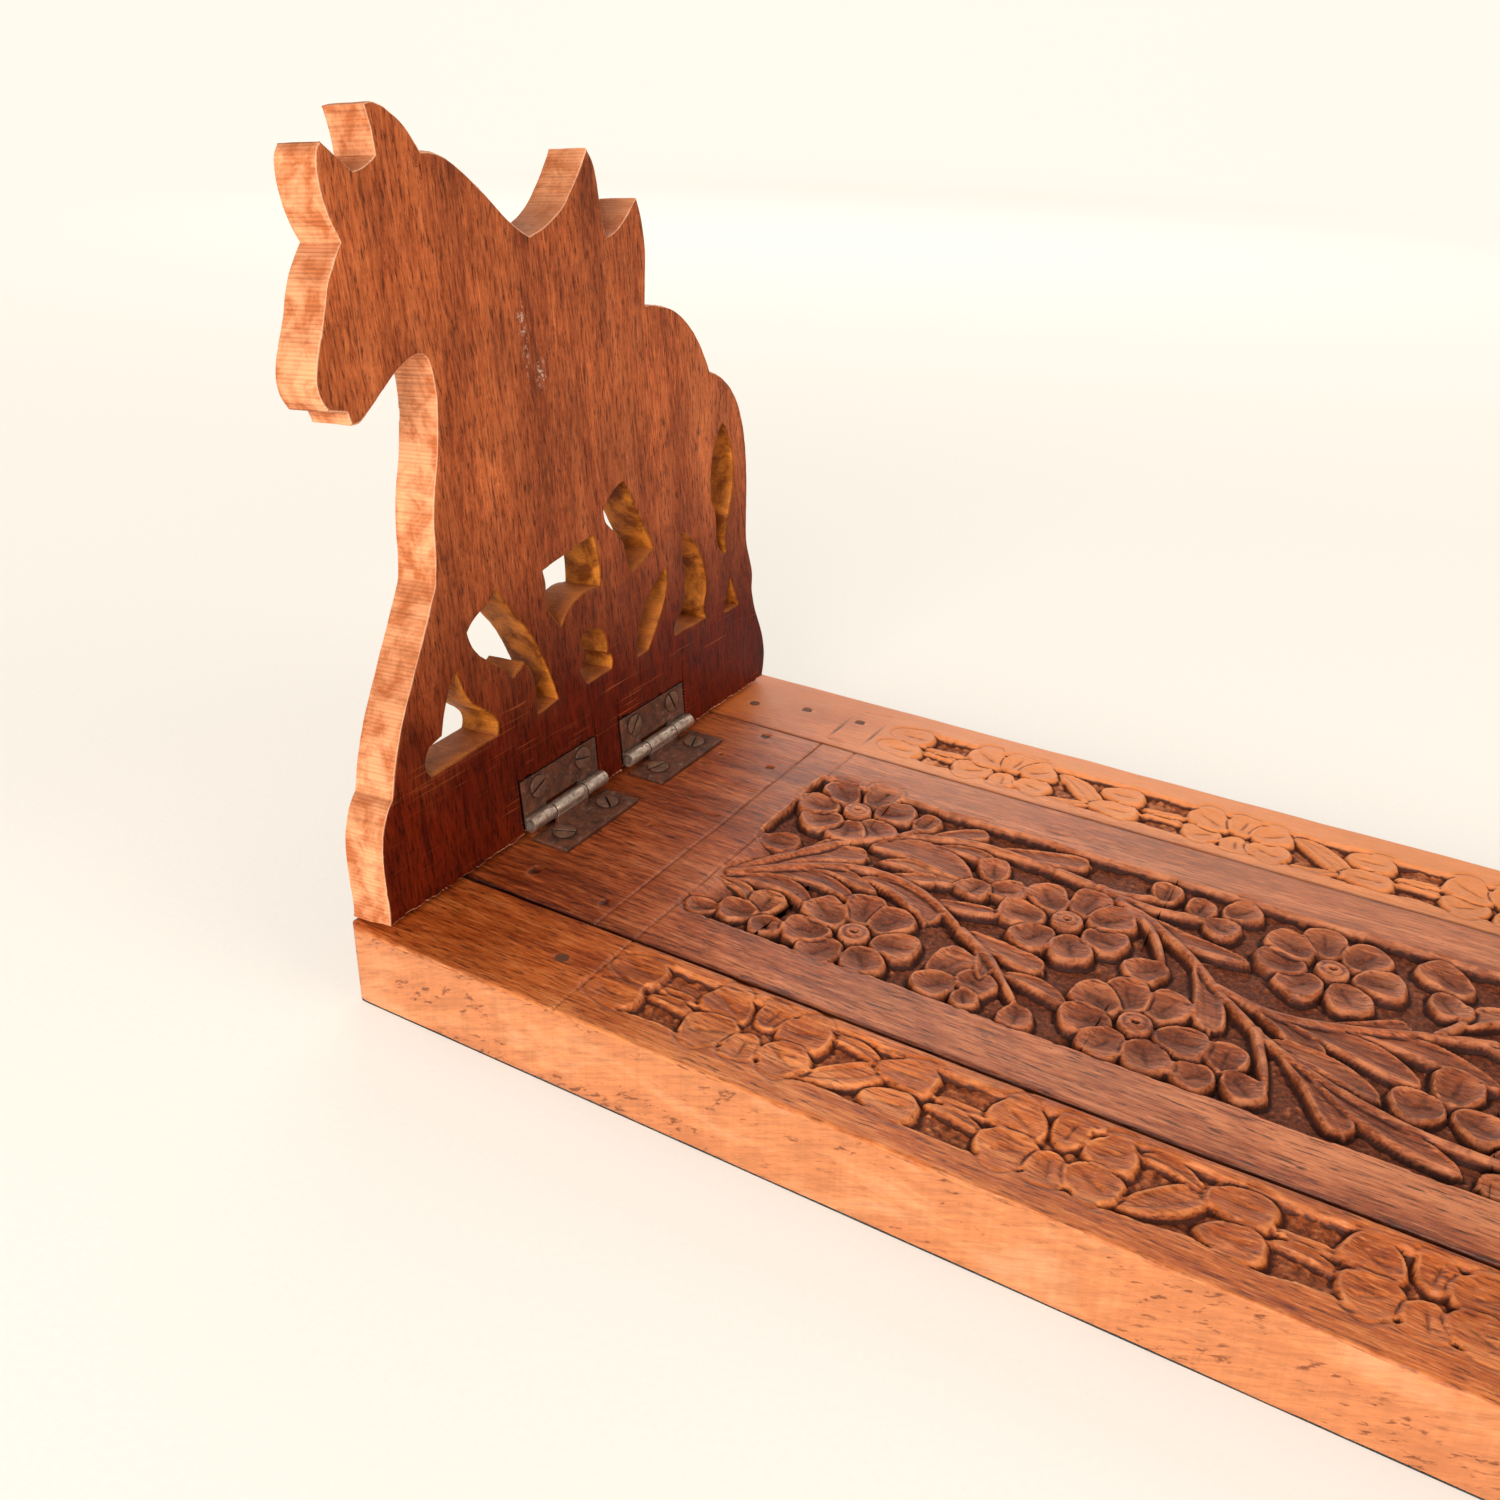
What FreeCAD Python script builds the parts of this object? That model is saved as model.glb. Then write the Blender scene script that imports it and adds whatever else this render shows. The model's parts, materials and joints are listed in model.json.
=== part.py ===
import FreeCAD, Part
import math
import os

# Sliding, folding book stand with two horse-shaped end panels.
#
# Frame: +X along the base, +Y from the front edge (the side the horses face) to the back edge, +Z up.
# The origin is on the surface that the stand rests on, under the middle of the closed base.
# The left half is a tongue board with its own panel. The right half is a fork of two rails and a block,
# with the other panel. The tongue slides out between the rails, and each panel folds flat inwards.

DIMENSIONS = {
    # base
    "base_length": 305.0,
    "base_width": 143.0,
    "base_height": 17.0,
    "corner_radius": 3.0,
    "front_rail_width": 24.2,
    "back_rail_width": 27.3,
    "front_gap": 0.9,
    "back_gap": 0.3,
    "block_length": 40.0,
    "board_end_gap": 0.5,
    # space under the tongue, where the two battens run
    "rebate_height": 4.4,
    "rail_wall": 8.0,
    "board_underside": 4.7,
    "batten_underside": 0.4,
    "slide_clearance": 0.3,
    "wing_clearance": 0.6,
    "fork_batten_inset": 11.0,
    "fork_batten_width": 34.0,
    "board_batten_width": 24.0,
    "slide_travel": 180.0,
    # butt hinges, one inch long
    "hinge_length": 25.4,
    "hinge_inset": 9.6,
    "hinge_rise": 3.6,
    "hinge_centre_front": -16.6,
    "hinge_centre_back": 18.2,
    "leaf_width": 9.6,
    "leaf_thickness": 1.0,
    "barrel_radius": 1.7,
    "barrel_clearance": 0.4,
    "neck_overlap": 0.5,
    "middle_knuckle": 10.4,
    "knuckle_gap": 0.3,
    "pin_radius": 0.8,
    "pin_clearance": 0.06,
    # hinge screws
    "screw_spacing": 15.2,
    "base_screw_reach": 5.0,
    "panel_screw_reach": 6.7,
    "screw_head_radius": 2.4,
    "screw_shank_radius": 1.4,
    "screw_length": 8.0,
    "screw_crown": 0.5,
    "screw_slot": 0.5,
    "screw_slot_depth": 0.6,
    # end panels
    "panel_thickness": 9.6,
    "panel_setback": 0.9,
    "panel_lean": 5.2,
    "mortise_depth": 1.15,
    "mortise_margin": 0.5,
    # fixings inside the base
    "dowel_radius": 3.0,
    "dowel_length": 30.0,
    "dowel_height": 10.5,
    "dowel_inset": 11.0,
    "dowel_spacing": 18.0,
    "nail_radius": 1.3,
    "nail_length": 15.5,
    "batten_screw_head_radius": 3.0,
    "batten_screw_shank_radius": 1.5,
    "batten_screw_length": 11.0,
    "batten_screw_crown": 0.05,
    "fit_clearance": 0.02,
}

HINGES = ("front", "back")

# Nails through the rails into the fork batten: distance from the fork's open end, then Y.
FRONT_NAILS = ((17.0, -58.5), (40.5, -58.5))
BACK_NAILS = ((14.5, 54.5), (27.3, 58.5), (42.0, 59.5))

# Y of the four screws that hold the batten under the tongue.
BATTEN_SCREWS = (-36.0, -13.0, 12.0, 33.0)

# Turn of each hinge screw's slot, in degrees, as a hand-driven screw is left.
SLOT_TURNS = (25.0, 140.0, 75.0, 110.0)

# Outline of the horse in the panel's own plane: Y across the stand, then height above the hinge axis.
# A run of two points is a straight edge; a longer run is one smooth curve through its points.
HORSE_OUTLINE = (
    # front of the ground strip, and the chest
    ((-69.1, -2.66), (-68.4, 8.0), (-66.8, 16.5), (-63.5, 21.4)),
    ((-63.5, 21.4), (-59.3, 32.4), (-53.5, 42.4), (-48.5, 50.7), (-44.8, 56.6)),
    ((-44.8, 56.6), (-43.8, 62.4), (-42.4, 71.5), (-39.9, 79.0), (-38.4, 85.5), (-37.8, 92.5), (-38.4, 96.2)),
    # throat, chin and muzzle
    ((-38.4, 96.2), (-39.8, 97.3), (-42.0, 97.2), (-44.7, 96.2)),
    ((-44.7, 96.2), (-50.9, 92.0), (-54.7, 89.3), (-56.5, 88.3), (-58.2, 88.4)),
    ((-58.2, 88.4), (-58.8, 90.5)),
    ((-58.8, 90.5), (-62.6, 91.4)),
    ((-62.6, 91.4), (-63.9, 93.8), (-64.1, 97.0), (-62.5, 101.8), (-60.6, 105.6), (-59.0, 109.8),
     (-57.4, 113.0), (-54.2, 117.0)),
    # forelock and the hollow before the ear
    ((-54.2, 117.0), (-55.6, 119.8), (-56.7, 123.5), (-56.9, 128.6), (-56.3, 131.0), (-55.1, 132.2)),
    ((-55.1, 132.2), (-52.3, 130.0), (-49.1, 127.5)),
    ((-49.1, 127.5), (-46.8, 128.1), (-43.9, 129.7)),
    # ear, mane and the two points of the saddle
    ((-43.9, 129.7), (-44.1, 133.5), (-45.0, 137.4)),
    ((-45.0, 137.4), (-43.0, 137.9), (-39.9, 136.8), (-36.4, 134.2), (-33.2, 130.0)),
    ((-33.2, 130.0), (-28.3, 129.1), (-23.8, 126.5), (-19.1, 123.0), (-13.8, 118.4), (-7.2, 114.4)),
    ((-7.2, 114.4), (-1.8, 116.2), (3.4, 119.0), (8.2, 123.6), (12.6, 129.0)),
    ((12.6, 129.0), (14.5, 126.0), (15.5, 119.0), (16.8, 112.2)),
    ((16.8, 112.2), (20.0, 113.2), (24.4, 116.2), (28.0, 119.0)),
    ((28.0, 119.0), (29.6, 114.0), (29.9, 109.0), (29.2, 103.0), (28.3, 97.4)),
    # croup, rump and tail
    ((28.3, 97.4), (34.8, 96.6), (43.2, 92.4), (49.0, 85.7), (51.8, 79.9)),
    ((51.8, 79.9), (58.2, 76.6), (63.2, 70.7), (65.5, 62.4), (65.8, 52.4), (64.5, 42.4), (64.2, 34.1),
     (65.8, 27.4), (65.2, 23.2)),
    ((65.2, 23.2), (66.5, 16.4), (69.2, 9.1), (69.0, 0.7), (67.6, -2.66)),
    ((67.6, -2.66), (-69.1, -2.66)),
)

# The nine spaces sawn between the legs and the tail, in the same plane.
HORSE_OPENINGS = (
    # before the raised foreleg
    (((-42.9, 38.7), (-45.3, 35.6), (-47.4, 31.2), (-48.6, 27.9)), ((-48.6, 27.9), (-52.3, 27.1)),
     ((-52.3, 27.1), (-53.9, 23.6), (-52.8, 21.8)), ((-52.8, 21.8), (-34.2, 22.6)),
     ((-34.2, 22.6), (-33.6, 24.6), (-36.9, 28.5), (-40.2, 31.6), (-41.9, 35.0), (-42.9, 38.7))),
    # between the forelegs
    (((-29.1, 50.9), (-31.8, 49.0), (-35.6, 47.3), (-38.2, 45.3)),
     ((-38.2, 45.3), (-37.3, 42.2), (-34.9, 39.3), (-30.5, 36.0), (-27.4, 32.4)),
     ((-27.4, 32.4), (-23.4, 34.4)), ((-23.4, 34.4), (-21.5, 31.4), (-20.8, 27.0), (-21.2, 22.0)),
     ((-21.2, 22.0), (-14.8, 22.9)),
     ((-14.8, 22.9), (-16.4, 28.8), (-18.6, 34.4), (-21.0, 39.2), (-24.8, 44.2), (-27.2, 47.8),
      (-29.1, 50.9))),
    # under the chest
    (((-14.5, 50.6), (2.4, 53.4)), ((2.4, 53.4), (3.4, 48.0), (3.1, 42.2)),
     ((3.1, 42.2), (-3.0, 42.6), (-7.4, 41.0), (-10.9, 37.7)),
     ((-10.9, 37.7), (-12.8, 40.2), (-14.4, 43.4), (-14.1, 46.6), (-14.5, 50.6))),
    # above the left knee
    (((-4.4, 33.3), (-1.0, 33.7), (2.0, 32.0), (3.5, 29.2), (3.1, 27.0)),
     ((3.1, 27.0), (4.7, 25.2), (4.3, 22.9)), ((4.3, 22.9), (-4.3, 22.5)),
     ((-4.3, 22.5), (-5.7, 24.4), (-6.4, 26.6)),
     ((-6.4, 26.6), (-4.2, 27.4), (-3.9, 29.2), (-4.9, 31.2), (-4.4, 33.3))),
    # under the belly
    (((14.8, 61.9), (19.0, 53.6), (23.5, 45.0)), ((23.5, 45.0), (15.2, 42.2)),
     ((15.2, 42.2), (13.7, 45.2), (13.3, 48.6), (11.2, 51.9), (8.2, 54.4), (7.2, 57.6)),
     ((7.2, 57.6), (10.2, 60.4), (14.8, 61.9))),
    # between the hind legs
    (((27.4, 38.9), (27.9, 36.2), (26.6, 32.6), (22.8, 27.4), (18.4, 22.4)), ((18.4, 22.4), (14.6, 22.2)),
     ((14.6, 22.2), (14.5, 24.8), (16.3, 29.4), (20.4, 34.4), (24.0, 36.9), (27.4, 38.9))),
    # behind the hind leg
    (((35.6, 45.2), (39.2, 42.4), (42.1, 38.4), (43.9, 33.4), (43.7, 28.8), (42.2, 25.4), (42.6, 22.3)),
     ((42.6, 22.3), (29.7, 22.3)),
     ((29.7, 22.3), (30.5, 24.7), (33.0, 26.6), (34.9, 30.2), (35.6, 35.4), (35.0, 40.2), (35.6, 45.2))),
    # between the rump and the tail
    (((55.8, 66.6), (59.1, 59.1), (58.3, 50.7), (54.5, 42.4), (53.5, 35.6)),
     ((53.5, 35.6), (50.3, 40.4), (50.7, 44.9), (49.3, 49.1)),
     ((49.3, 49.1), (50.0, 57.4), (53.0, 63.6), (55.8, 66.6))),
    # foot of the tail
    (((54.7, 29.1), (56.0, 25.2), (58.0, 20.9)), ((58.0, 20.9), (51.5, 21.1)),
     ((51.5, 21.1), (53.4, 25.0), (54.7, 29.1))),
)

doc = FreeCAD.newDocument("horse_book_stand")
sheet = doc.addObject("Spreadsheet::Sheet", "dims")
for row, (alias, value) in enumerate(DIMENSIONS.items(), start=1):
    sheet.set(f"A{row}", alias)
    sheet.set(f"B{row}", str(value))
    sheet.setAlias(f"B{row}", alias)
doc.recompute()

SIDES = {"left": -1, "right": 1}
PANEL_BOTTOM = HORSE_OUTLINE[0][0][1]
nodes = {}


def size(alias):
    """Value of one cell of the sheet."""
    return float(sheet.get(alias))


def bind(obj, **formulas):
    """Bind an object's properties to the sheet; cell names are written after a dot, as in dims.NAME."""
    for prop, formula in formulas.items():
        obj.setExpression(prop.replace("__", "."), formula)
    return obj


def put(obj, x="0", y="0", z="0"):
    """Bind an object's position."""
    return bind(obj, Placement__Base__x=x, Placement__Base__y=y, Placement__Base__z=z)


def box(name, length, width, height, x, y, z):
    block = bind(doc.addObject("Part::Box", name), Length=length, Width=width, Height=height)
    return put(block, x, y, z)


def cylinder(name, radius, height, x, y, z, direction=(0, 0, 1)):
    rod = doc.addObject("Part::Cylinder", name)
    rod.Placement.Rotation = FreeCAD.Rotation(FreeCAD.Vector(0, 0, 1), FreeCAD.Vector(*direction))
    bind(rod, Radius=radius, Height=height)
    return put(rod, x, y, z)


def fuse(name, shapes):
    whole = doc.addObject("Part::MultiFuse", name)
    whole.Shapes = shapes
    return whole


def cut(name, base, tools):
    rest = doc.addObject("Part::Cut", name)
    rest.Base = base
    rest.Tool = tools[0] if len(tools) == 1 else fuse(f"{name}_tools", tools)
    return rest


def group(name, shapes):
    whole = doc.addObject("Part::Compound", name)
    whole.Links = shapes
    return whole


def finished(node, obj):
    """Name a finished sub-part after its node."""
    obj.Label = node
    nodes[node] = obj
    return obj


def hinge_y(hinge):
    return f"dims.hinge_centre_{hinge}"


def screw(name, kind, x, y, z, turn, crown, upwards=False):
    """A slotted countersunk wood screw whose head plane is at x, y, z; it points down, or up."""
    way = -1 if upwards else 1
    head, shank, length = (f"dims.{kind}_{part}" for part in ("head_radius", "shank_radius", "length"))
    cone = doc.addObject("Part::Cone", f"{name}_head")
    bind(cone, Radius1=shank, Radius2=head, Height=f"{head} - {shank}")
    rim = cylinder(f"{name}_rim", head, crown, x, y, z, (0, 0, way))
    stem = cylinder(f"{name}_shank", shank, length, x, y, z, (0, 0, -way))
    if upwards:
        cone.Placement.Rotation = FreeCAD.Rotation(FreeCAD.Vector(1, 0, 0), 180)
    sink = f"({z}) {'+' if upwards else '-'} ({head} - {shank})"
    put(cone, x, y, sink)
    slot = box(f"{name}_slot", f"2.2 * {head}", "dims.screw_slot", "2 * dims.screw_slot_depth",
               "0", "0", "0")
    spin = FreeCAD.Rotation(FreeCAD.Vector(0, 0, 1), turn)
    slot.Placement.Rotation = spin
    corner = spin.multVec(FreeCAD.Vector(-1.1 * size(f"{kind}_head_radius"), -0.5 * size("screw_slot"), 0))
    slot_base = f"({z}) {'-' if upwards else '+'} ({crown}) - dims.screw_slot_depth"
    put(slot, f"({x}) + {corner.x:.4f}", f"({y}) + {corner.y:.4f}", slot_base)
    return cut(name, fuse(f"{name}_blank", [cone, rim, stem]), [slot])


# ---------------------------------------------------------------- base

BOARD_WIDTH = ("(dims.base_width - dims.front_rail_width - dims.back_rail_width"
               " - dims.front_gap - dims.back_gap)")
BOARD_FRONT = "(dims.front_rail_width + dims.front_gap - dims.base_width / 2)"
RAIL_REBATE_LENGTH = "(dims.base_length - dims.block_length)"
LEFT_END = "(-dims.base_length / 2)"
DOWEL_HOLE = "dims.dowel_radius + dims.fit_clearance"
NAIL_HOLE = "dims.nail_radius + dims.fit_clearance"
SCREW_HOLE = "dims.screw_shank_radius + dims.fit_clearance"
BATTEN_HOLE = "dims.batten_screw_shank_radius + dims.fit_clearance"


def dowel_x(index):
    return f"dims.base_length / 2 - dims.dowel_inset - {index} * dims.dowel_spacing"


def dowel_y(rail):
    """Where a dowel starts, half of it in the rail and half in the block."""
    joint = {
        "front": "dims.front_rail_width - dims.base_width / 2",
        "back": "dims.base_width / 2 - dims.back_rail_width",
    }[rail]
    return f"{joint} - dims.dowel_length / 2"


def dowel_rods(name, rails, radius):
    return [
        cylinder(f"{name}_{rail}_{index}", radius, "dims.dowel_length", dowel_x(index), dowel_y(rail),
                 "dims.dowel_height", (0, 1, 0))
        for rail in rails for index in (0, 1)
    ]


def nail_rods(name, places, radius):
    return [
        cylinder(f"{name}_{index}", radius, "dims.nail_length", f"{LEFT_END} + {inset}", f"{y}",
                 "dims.base_height - dims.nail_length")
        for index, (inset, y) in enumerate(places)
    ]


def rounded(name, blank, corners):
    """Round the upright edges at the given X, Y corners of a block."""
    doc.recompute()
    edges = []
    for index, edge in enumerate(blank.Shape.Edges, start=1):
        middle = edge.CenterOfMass
        upright = abs(edge.tangentAt(edge.FirstParameter).z) > 0.99
        if upright and any(math.hypot(middle.x - x, middle.y - y) < 0.5 for x, y in corners):
            edges.append((index, size("corner_radius"), size("corner_radius")))
    fillet = doc.addObject("Part::Fillet", name)
    fillet.Base = blank
    fillet.Edges = edges
    return fillet


def make_rail(rail, nails):
    node = f"{rail}_rail"
    width = f"dims.{node}_width"
    at_front = rail == "front"
    outer_y = (-0.5 if at_front else 0.5) * size("base_width")
    y = "-dims.base_width / 2" if at_front else f"dims.base_width / 2 - {width}"
    rebate_y = f"{y} + dims.rail_wall" if at_front else f"{y} - dims.rail_wall"
    blank = box(f"{node}_blank", "dims.base_length", width, "dims.base_height", LEFT_END, y, "0")
    ends = [(end * 0.5 * size("base_length"), outer_y) for end in (-1, 1)]
    rounded_blank = rounded(f"{node}_rounded", blank, ends)
    rebate = box(f"{node}_rebate", RAIL_REBATE_LENGTH, width, "dims.rebate_height", LEFT_END, rebate_y, "0")
    holes = dowel_rods(f"{node}_dowel_hole", [rail], DOWEL_HOLE)
    holes += nail_rods(f"{node}_nail_hole", nails, NAIL_HOLE)
    finished(node, cut(node, rounded_blank, [rebate] + holes))


def make_end_block():
    width = f"{BOARD_WIDTH} + dims.front_gap + dims.back_gap"
    inner_end = "dims.base_length / 2 - dims.block_length"
    blank = box("end_block_blank", "dims.block_length", width, "dims.base_height", inner_end,
                "dims.front_rail_width - dims.base_width / 2", "0")
    holes = dowel_rods("end_block_dowel_hole", ["front", "back"], DOWEL_HOLE)
    holes += base_screw_holes("right")
    finished("end_block", cut("end_block", blank, holes))


def make_board():
    blank = box("centre_board_blank", f"{RAIL_REBATE_LENGTH} - dims.board_end_gap", BOARD_WIDTH,
                "dims.base_height - dims.board_underside", LEFT_END, BOARD_FRONT, "dims.board_underside")
    holes = base_screw_holes("left")
    holes += [
        cylinder(f"board_batten_hole_{index}", BATTEN_HOLE, "dims.batten_screw_length",
                 BATTEN_SCREW_X, f"{y}", "dims.slide_clearance")
        for index, y in enumerate(BATTEN_SCREWS)
    ]
    finished("centre_board", cut("centre_board", blank, holes))


FORK_BATTEN_LEFT = f"{LEFT_END} + dims.fork_batten_inset"
BOARD_BATTEN_LEFT = f"{FORK_BATTEN_LEFT} + dims.fork_batten_width + dims.slide_travel + dims.slide_clearance"
BATTEN_SCREW_X = f"{BOARD_BATTEN_LEFT} + dims.board_batten_width / 2"


def make_fork_batten():
    """The strip across the fork's open end, let up into the rails; the tongue rides over it."""
    width = "dims.base_width - 2 * dims.rail_wall"
    strip = box("fork_batten_blank", "dims.fork_batten_width", width,
                "dims.rebate_height - dims.batten_underside", FORK_BATTEN_LEFT,
                "dims.rail_wall - dims.base_width / 2", "dims.batten_underside")
    holes = nail_rods("fork_batten_nail_hole", FRONT_NAILS + BACK_NAILS, NAIL_HOLE)
    finished("fork_batten", cut("fork_batten", strip, holes))
    nails = nail_rods("fork_batten_nail", FRONT_NAILS + BACK_NAILS, "dims.nail_radius")
    finished("fork_batten_nails", group("fork_batten_nails", nails))


def make_board_batten():
    """The strip under the tongue; its ends run under the rails and meet the fork batten at full reach."""
    wing = box("board_batten_wings", "dims.board_batten_width",
               "dims.base_width - 2 * dims.rail_wall - 2 * dims.wing_clearance",
               "dims.rebate_height - 2 * dims.slide_clearance", BOARD_BATTEN_LEFT,
               "dims.rail_wall + dims.wing_clearance - dims.base_width / 2", "dims.slide_clearance")
    middle = box("board_batten_middle", "dims.board_batten_width", f"{BOARD_WIDTH}",
                 "dims.board_underside - dims.slide_clearance", BOARD_BATTEN_LEFT, BOARD_FRONT,
                 "dims.slide_clearance")
    seats = []
    for index, y in enumerate(BATTEN_SCREWS):
        seat = doc.addObject("Part::Cone", f"board_batten_seat_{index}")
        bind(seat, Radius1="dims.batten_screw_head_radius + dims.fit_clearance", Radius2=BATTEN_HOLE,
             Height="dims.batten_screw_head_radius - dims.batten_screw_shank_radius")
        put(seat, BATTEN_SCREW_X, f"{y}", "dims.slide_clearance")
        seats.append(seat)
        seats.append(cylinder(f"board_batten_shaft_{index}", BATTEN_HOLE, "dims.batten_screw_length",
                              BATTEN_SCREW_X, f"{y}", "dims.slide_clearance"))
    strip = fuse("board_batten_blank", [wing, middle])
    finished("board_batten", cut("board_batten", strip, seats))
    screws = [
        screw(f"board_batten_screw_{index}", "batten_screw", BATTEN_SCREW_X, f"{y}", "dims.slide_clearance",
              SLOT_TURNS[index], "dims.batten_screw_crown", upwards=True)
        for index, y in enumerate(BATTEN_SCREWS)
    ]
    finished("board_batten_screws", group("board_batten_screws", screws))


# ---------------------------------------------------------------- hinges

def axis_x(side):
    return f"{SIDES[side]} * (dims.base_length / 2 - dims.hinge_inset)"


AXIS_Z = "dims.base_height + dims.hinge_rise"


def screw_places(hinge):
    """Y of a leaf's two screws."""
    return [f"{hinge_y(hinge)} {sign} dims.screw_spacing / 2" for sign in "-+"]


def base_screw_x(side):
    return f"{axis_x(side)} - {SIDES[side]} * dims.base_screw_reach"


def base_screw_holes(side):
    return [
        cylinder(f"{side}_{hinge}_base_pilot_{index}", SCREW_HOLE, "dims.screw_length", base_screw_x(side), y,
                 "dims.base_height + dims.leaf_thickness - dims.screw_length")
        for hinge in HINGES for index, y in enumerate(screw_places(hinge))
    ]


def knuckle_spans(of_panel):
    """Start and length of a leaf's knuckles, from the hinge's middle: outer two, or the middle one."""
    half = size("hinge_length") / 2
    inner = size("middle_knuckle") / 2
    gap = size("knuckle_gap")
    if of_panel:
        return [(-half, half - inner - gap), (inner + gap, half - inner - gap)]
    return [(-inner, 2 * inner)]


def make_leaf(side, hinge, of_panel):
    """One leaf about the hinge axis at the origin; the base leaf lies flat, the panel leaf stands."""
    node = f"{side}_{hinge}_{'panel' if of_panel else 'base'}_leaf"
    inward = -SIDES[side]
    half = "-dims.hinge_length / 2"
    if of_panel:
        start = "(dims.barrel_radius + dims.barrel_clearance)"
        back = "(dims.panel_setback + dims.mortise_depth)"
        plate_x = f"-{back}" if inward > 0 else f"{back} - dims.leaf_thickness"
        solids = [box(f"{node}_plate", "dims.leaf_thickness", "dims.hinge_length",
                      f"dims.leaf_width - {start}", plate_x, half, start)]
        neck_x, neck_z, neck_height = plate_x, "0", f"{start} + dims.neck_overlap"
    else:
        start = "(dims.barrel_radius - dims.leaf_thickness)"
        plate_x = start if inward > 0 else "-dims.leaf_width"
        solids = [box(f"{node}_plate", f"dims.leaf_width - {start}", "dims.hinge_length",
                      "dims.leaf_thickness", plate_x, half, "-dims.hinge_rise")]
        neck_x = start if inward > 0 else "-dims.barrel_radius"
        neck_z, neck_height = "-dims.hinge_rise", "dims.hinge_rise"
    for index, (low, length) in enumerate(knuckle_spans(of_panel)):
        solids.append(cylinder(f"{node}_knuckle_{index}", "dims.barrel_radius", f"{length}", "0",
                               f"{low}", "0", (0, 1, 0)))
        solids.append(box(f"{node}_neck_{index}", "dims.leaf_thickness", f"{length}", neck_height,
                          neck_x, f"{low}", neck_z))
    holes = [cylinder(f"{node}_pin_hole", "dims.pin_radius + dims.pin_clearance", "2 * dims.hinge_length",
                      "0", "-dims.hinge_length", "0", (0, 1, 0))]
    holes += leaf_seats(node, inward, of_panel)
    leaf = cut(node, fuse(f"{node}_blank", solids), holes)
    place_on_axis(leaf, side, hinge, leaning=of_panel)
    finished(node, leaf)


def leaf_seats(node, inward, of_panel):
    """Countersunk holes of a leaf's two screws, opening on the face that the screws go in from."""
    seats = []
    offset = "(dims.panel_setback + dims.mortise_depth - dims.leaf_thickness)"
    for index, sign in enumerate("-+"):
        y = f"{sign} dims.screw_spacing / 2"
        if of_panel:
            place = (f"{-inward} * {offset}", y, "dims.panel_screw_reach")
            into = (-inward, 0, 0)
        else:
            place = (f"{inward} * dims.base_screw_reach", y, "dims.leaf_thickness - dims.hinge_rise")
            into = (0, 0, -1)
        seat = doc.addObject("Part::Cone", f"{node}_seat_{index}")
        seat.Placement.Rotation = FreeCAD.Rotation(FreeCAD.Vector(0, 0, 1), FreeCAD.Vector(*into))
        bind(seat, Radius1="dims.screw_head_radius + dims.fit_clearance", Radius2=SCREW_HOLE,
             Height="dims.screw_head_radius - dims.screw_shank_radius")
        seats.append(put(seat, *place))
    return seats


def lean_rotation(side):
    return FreeCAD.Rotation(FreeCAD.Vector(0, 1, 0), SIDES[side] * size("panel_lean"))


def place_on_axis(obj, side, hinge=None, leaning=False):
    """Put an object drawn about a hinge axis where that axis is."""
    if leaning:
        obj.Placement.Rotation = lean_rotation(side)
    put(obj, axis_x(side), hinge_y(hinge) if hinge else "0", AXIS_Z)


def make_hinge(side, hinge):
    for of_panel in (False, True):
        make_leaf(side, hinge, of_panel)
    pin = cylinder(f"{side}_{hinge}_pin", "dims.pin_radius", "dims.hinge_length", axis_x(side),
                   f"{hinge_y(hinge)} - dims.hinge_length / 2", AXIS_Z, (0, 1, 0))
    finished(f"{side}_{hinge}_hinge_pin", pin)


def make_base_screws(side):
    screws = []
    for hinge in HINGES:
        for y in screw_places(hinge):
            index = len(screws)
            screws.append(screw(f"{side}_base_screw_{index}", "screw", base_screw_x(side), y,
                                "dims.base_height + dims.leaf_thickness", SLOT_TURNS[index],
                                "dims.screw_crown"))
    finished(f"{side}_base_screws", group(f"{side}_base_screws", screws))


def make_panel_screws(side):
    """The four screws that go into the panel, drawn pointing down and then turned about the hinge axis."""
    inward = -SIDES[side]
    screws = []
    for hinge in HINGES:
        for sign in "-+":
            index = len(screws)
            head_z = "-(dims.panel_setback + dims.mortise_depth - dims.leaf_thickness)"
            y = f"{hinge_y(hinge)} {sign} dims.screw_spacing / 2"
            screws.append(screw(f"{side}_panel_screw_{index}", "screw",
                                f"{-inward} * dims.panel_screw_reach", y, head_z, SLOT_TURNS[3 - index],
                                "dims.screw_crown"))
    whole = group(f"{side}_panel_screws", screws)
    quarter = FreeCAD.Rotation(FreeCAD.Vector(0, 1, 0), 90 * inward)
    whole.Placement.Rotation = lean_rotation(side).multiply(quarter)
    put(whole, axis_x(side), "0", AXIS_Z)
    finished(f"{side}_panel_screws", whole)


# ---------------------------------------------------------------- end panels

def origin_plane(body, role):
    return next(feature for feature in body.Origin.OriginFeatures if feature.Role == role)


def sketch_on(body, name, role="YZ_Plane"):
    sketch = body.newObject("Sketcher::SketchObject", name)
    sketch.AttachmentSupport = (origin_plane(body, role), [""])
    sketch.MapMode = "FlatFace"
    return sketch


def draw_loop(sketch, runs):
    """Draw a closed outline: a straight edge for two points, one smooth curve for more."""
    for run in runs:
        points = [FreeCAD.Vector(across, up, 0) for across, up in run]
        if len(points) == 2:
            sketch.addGeometry(Part.LineSegment(*points), False)
        else:
            curve = Part.BSplineCurve()
            curve.interpolate(points)
            sketch.addGeometry(curve, False)


def draw_rectangle(sketch, low, high):
    corners = [low, (high[0], low[1]), high, (low[0], high[1])]
    draw_loop(sketch, [(corners[i], corners[(i + 1) % 4]) for i in range(4)])


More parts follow.
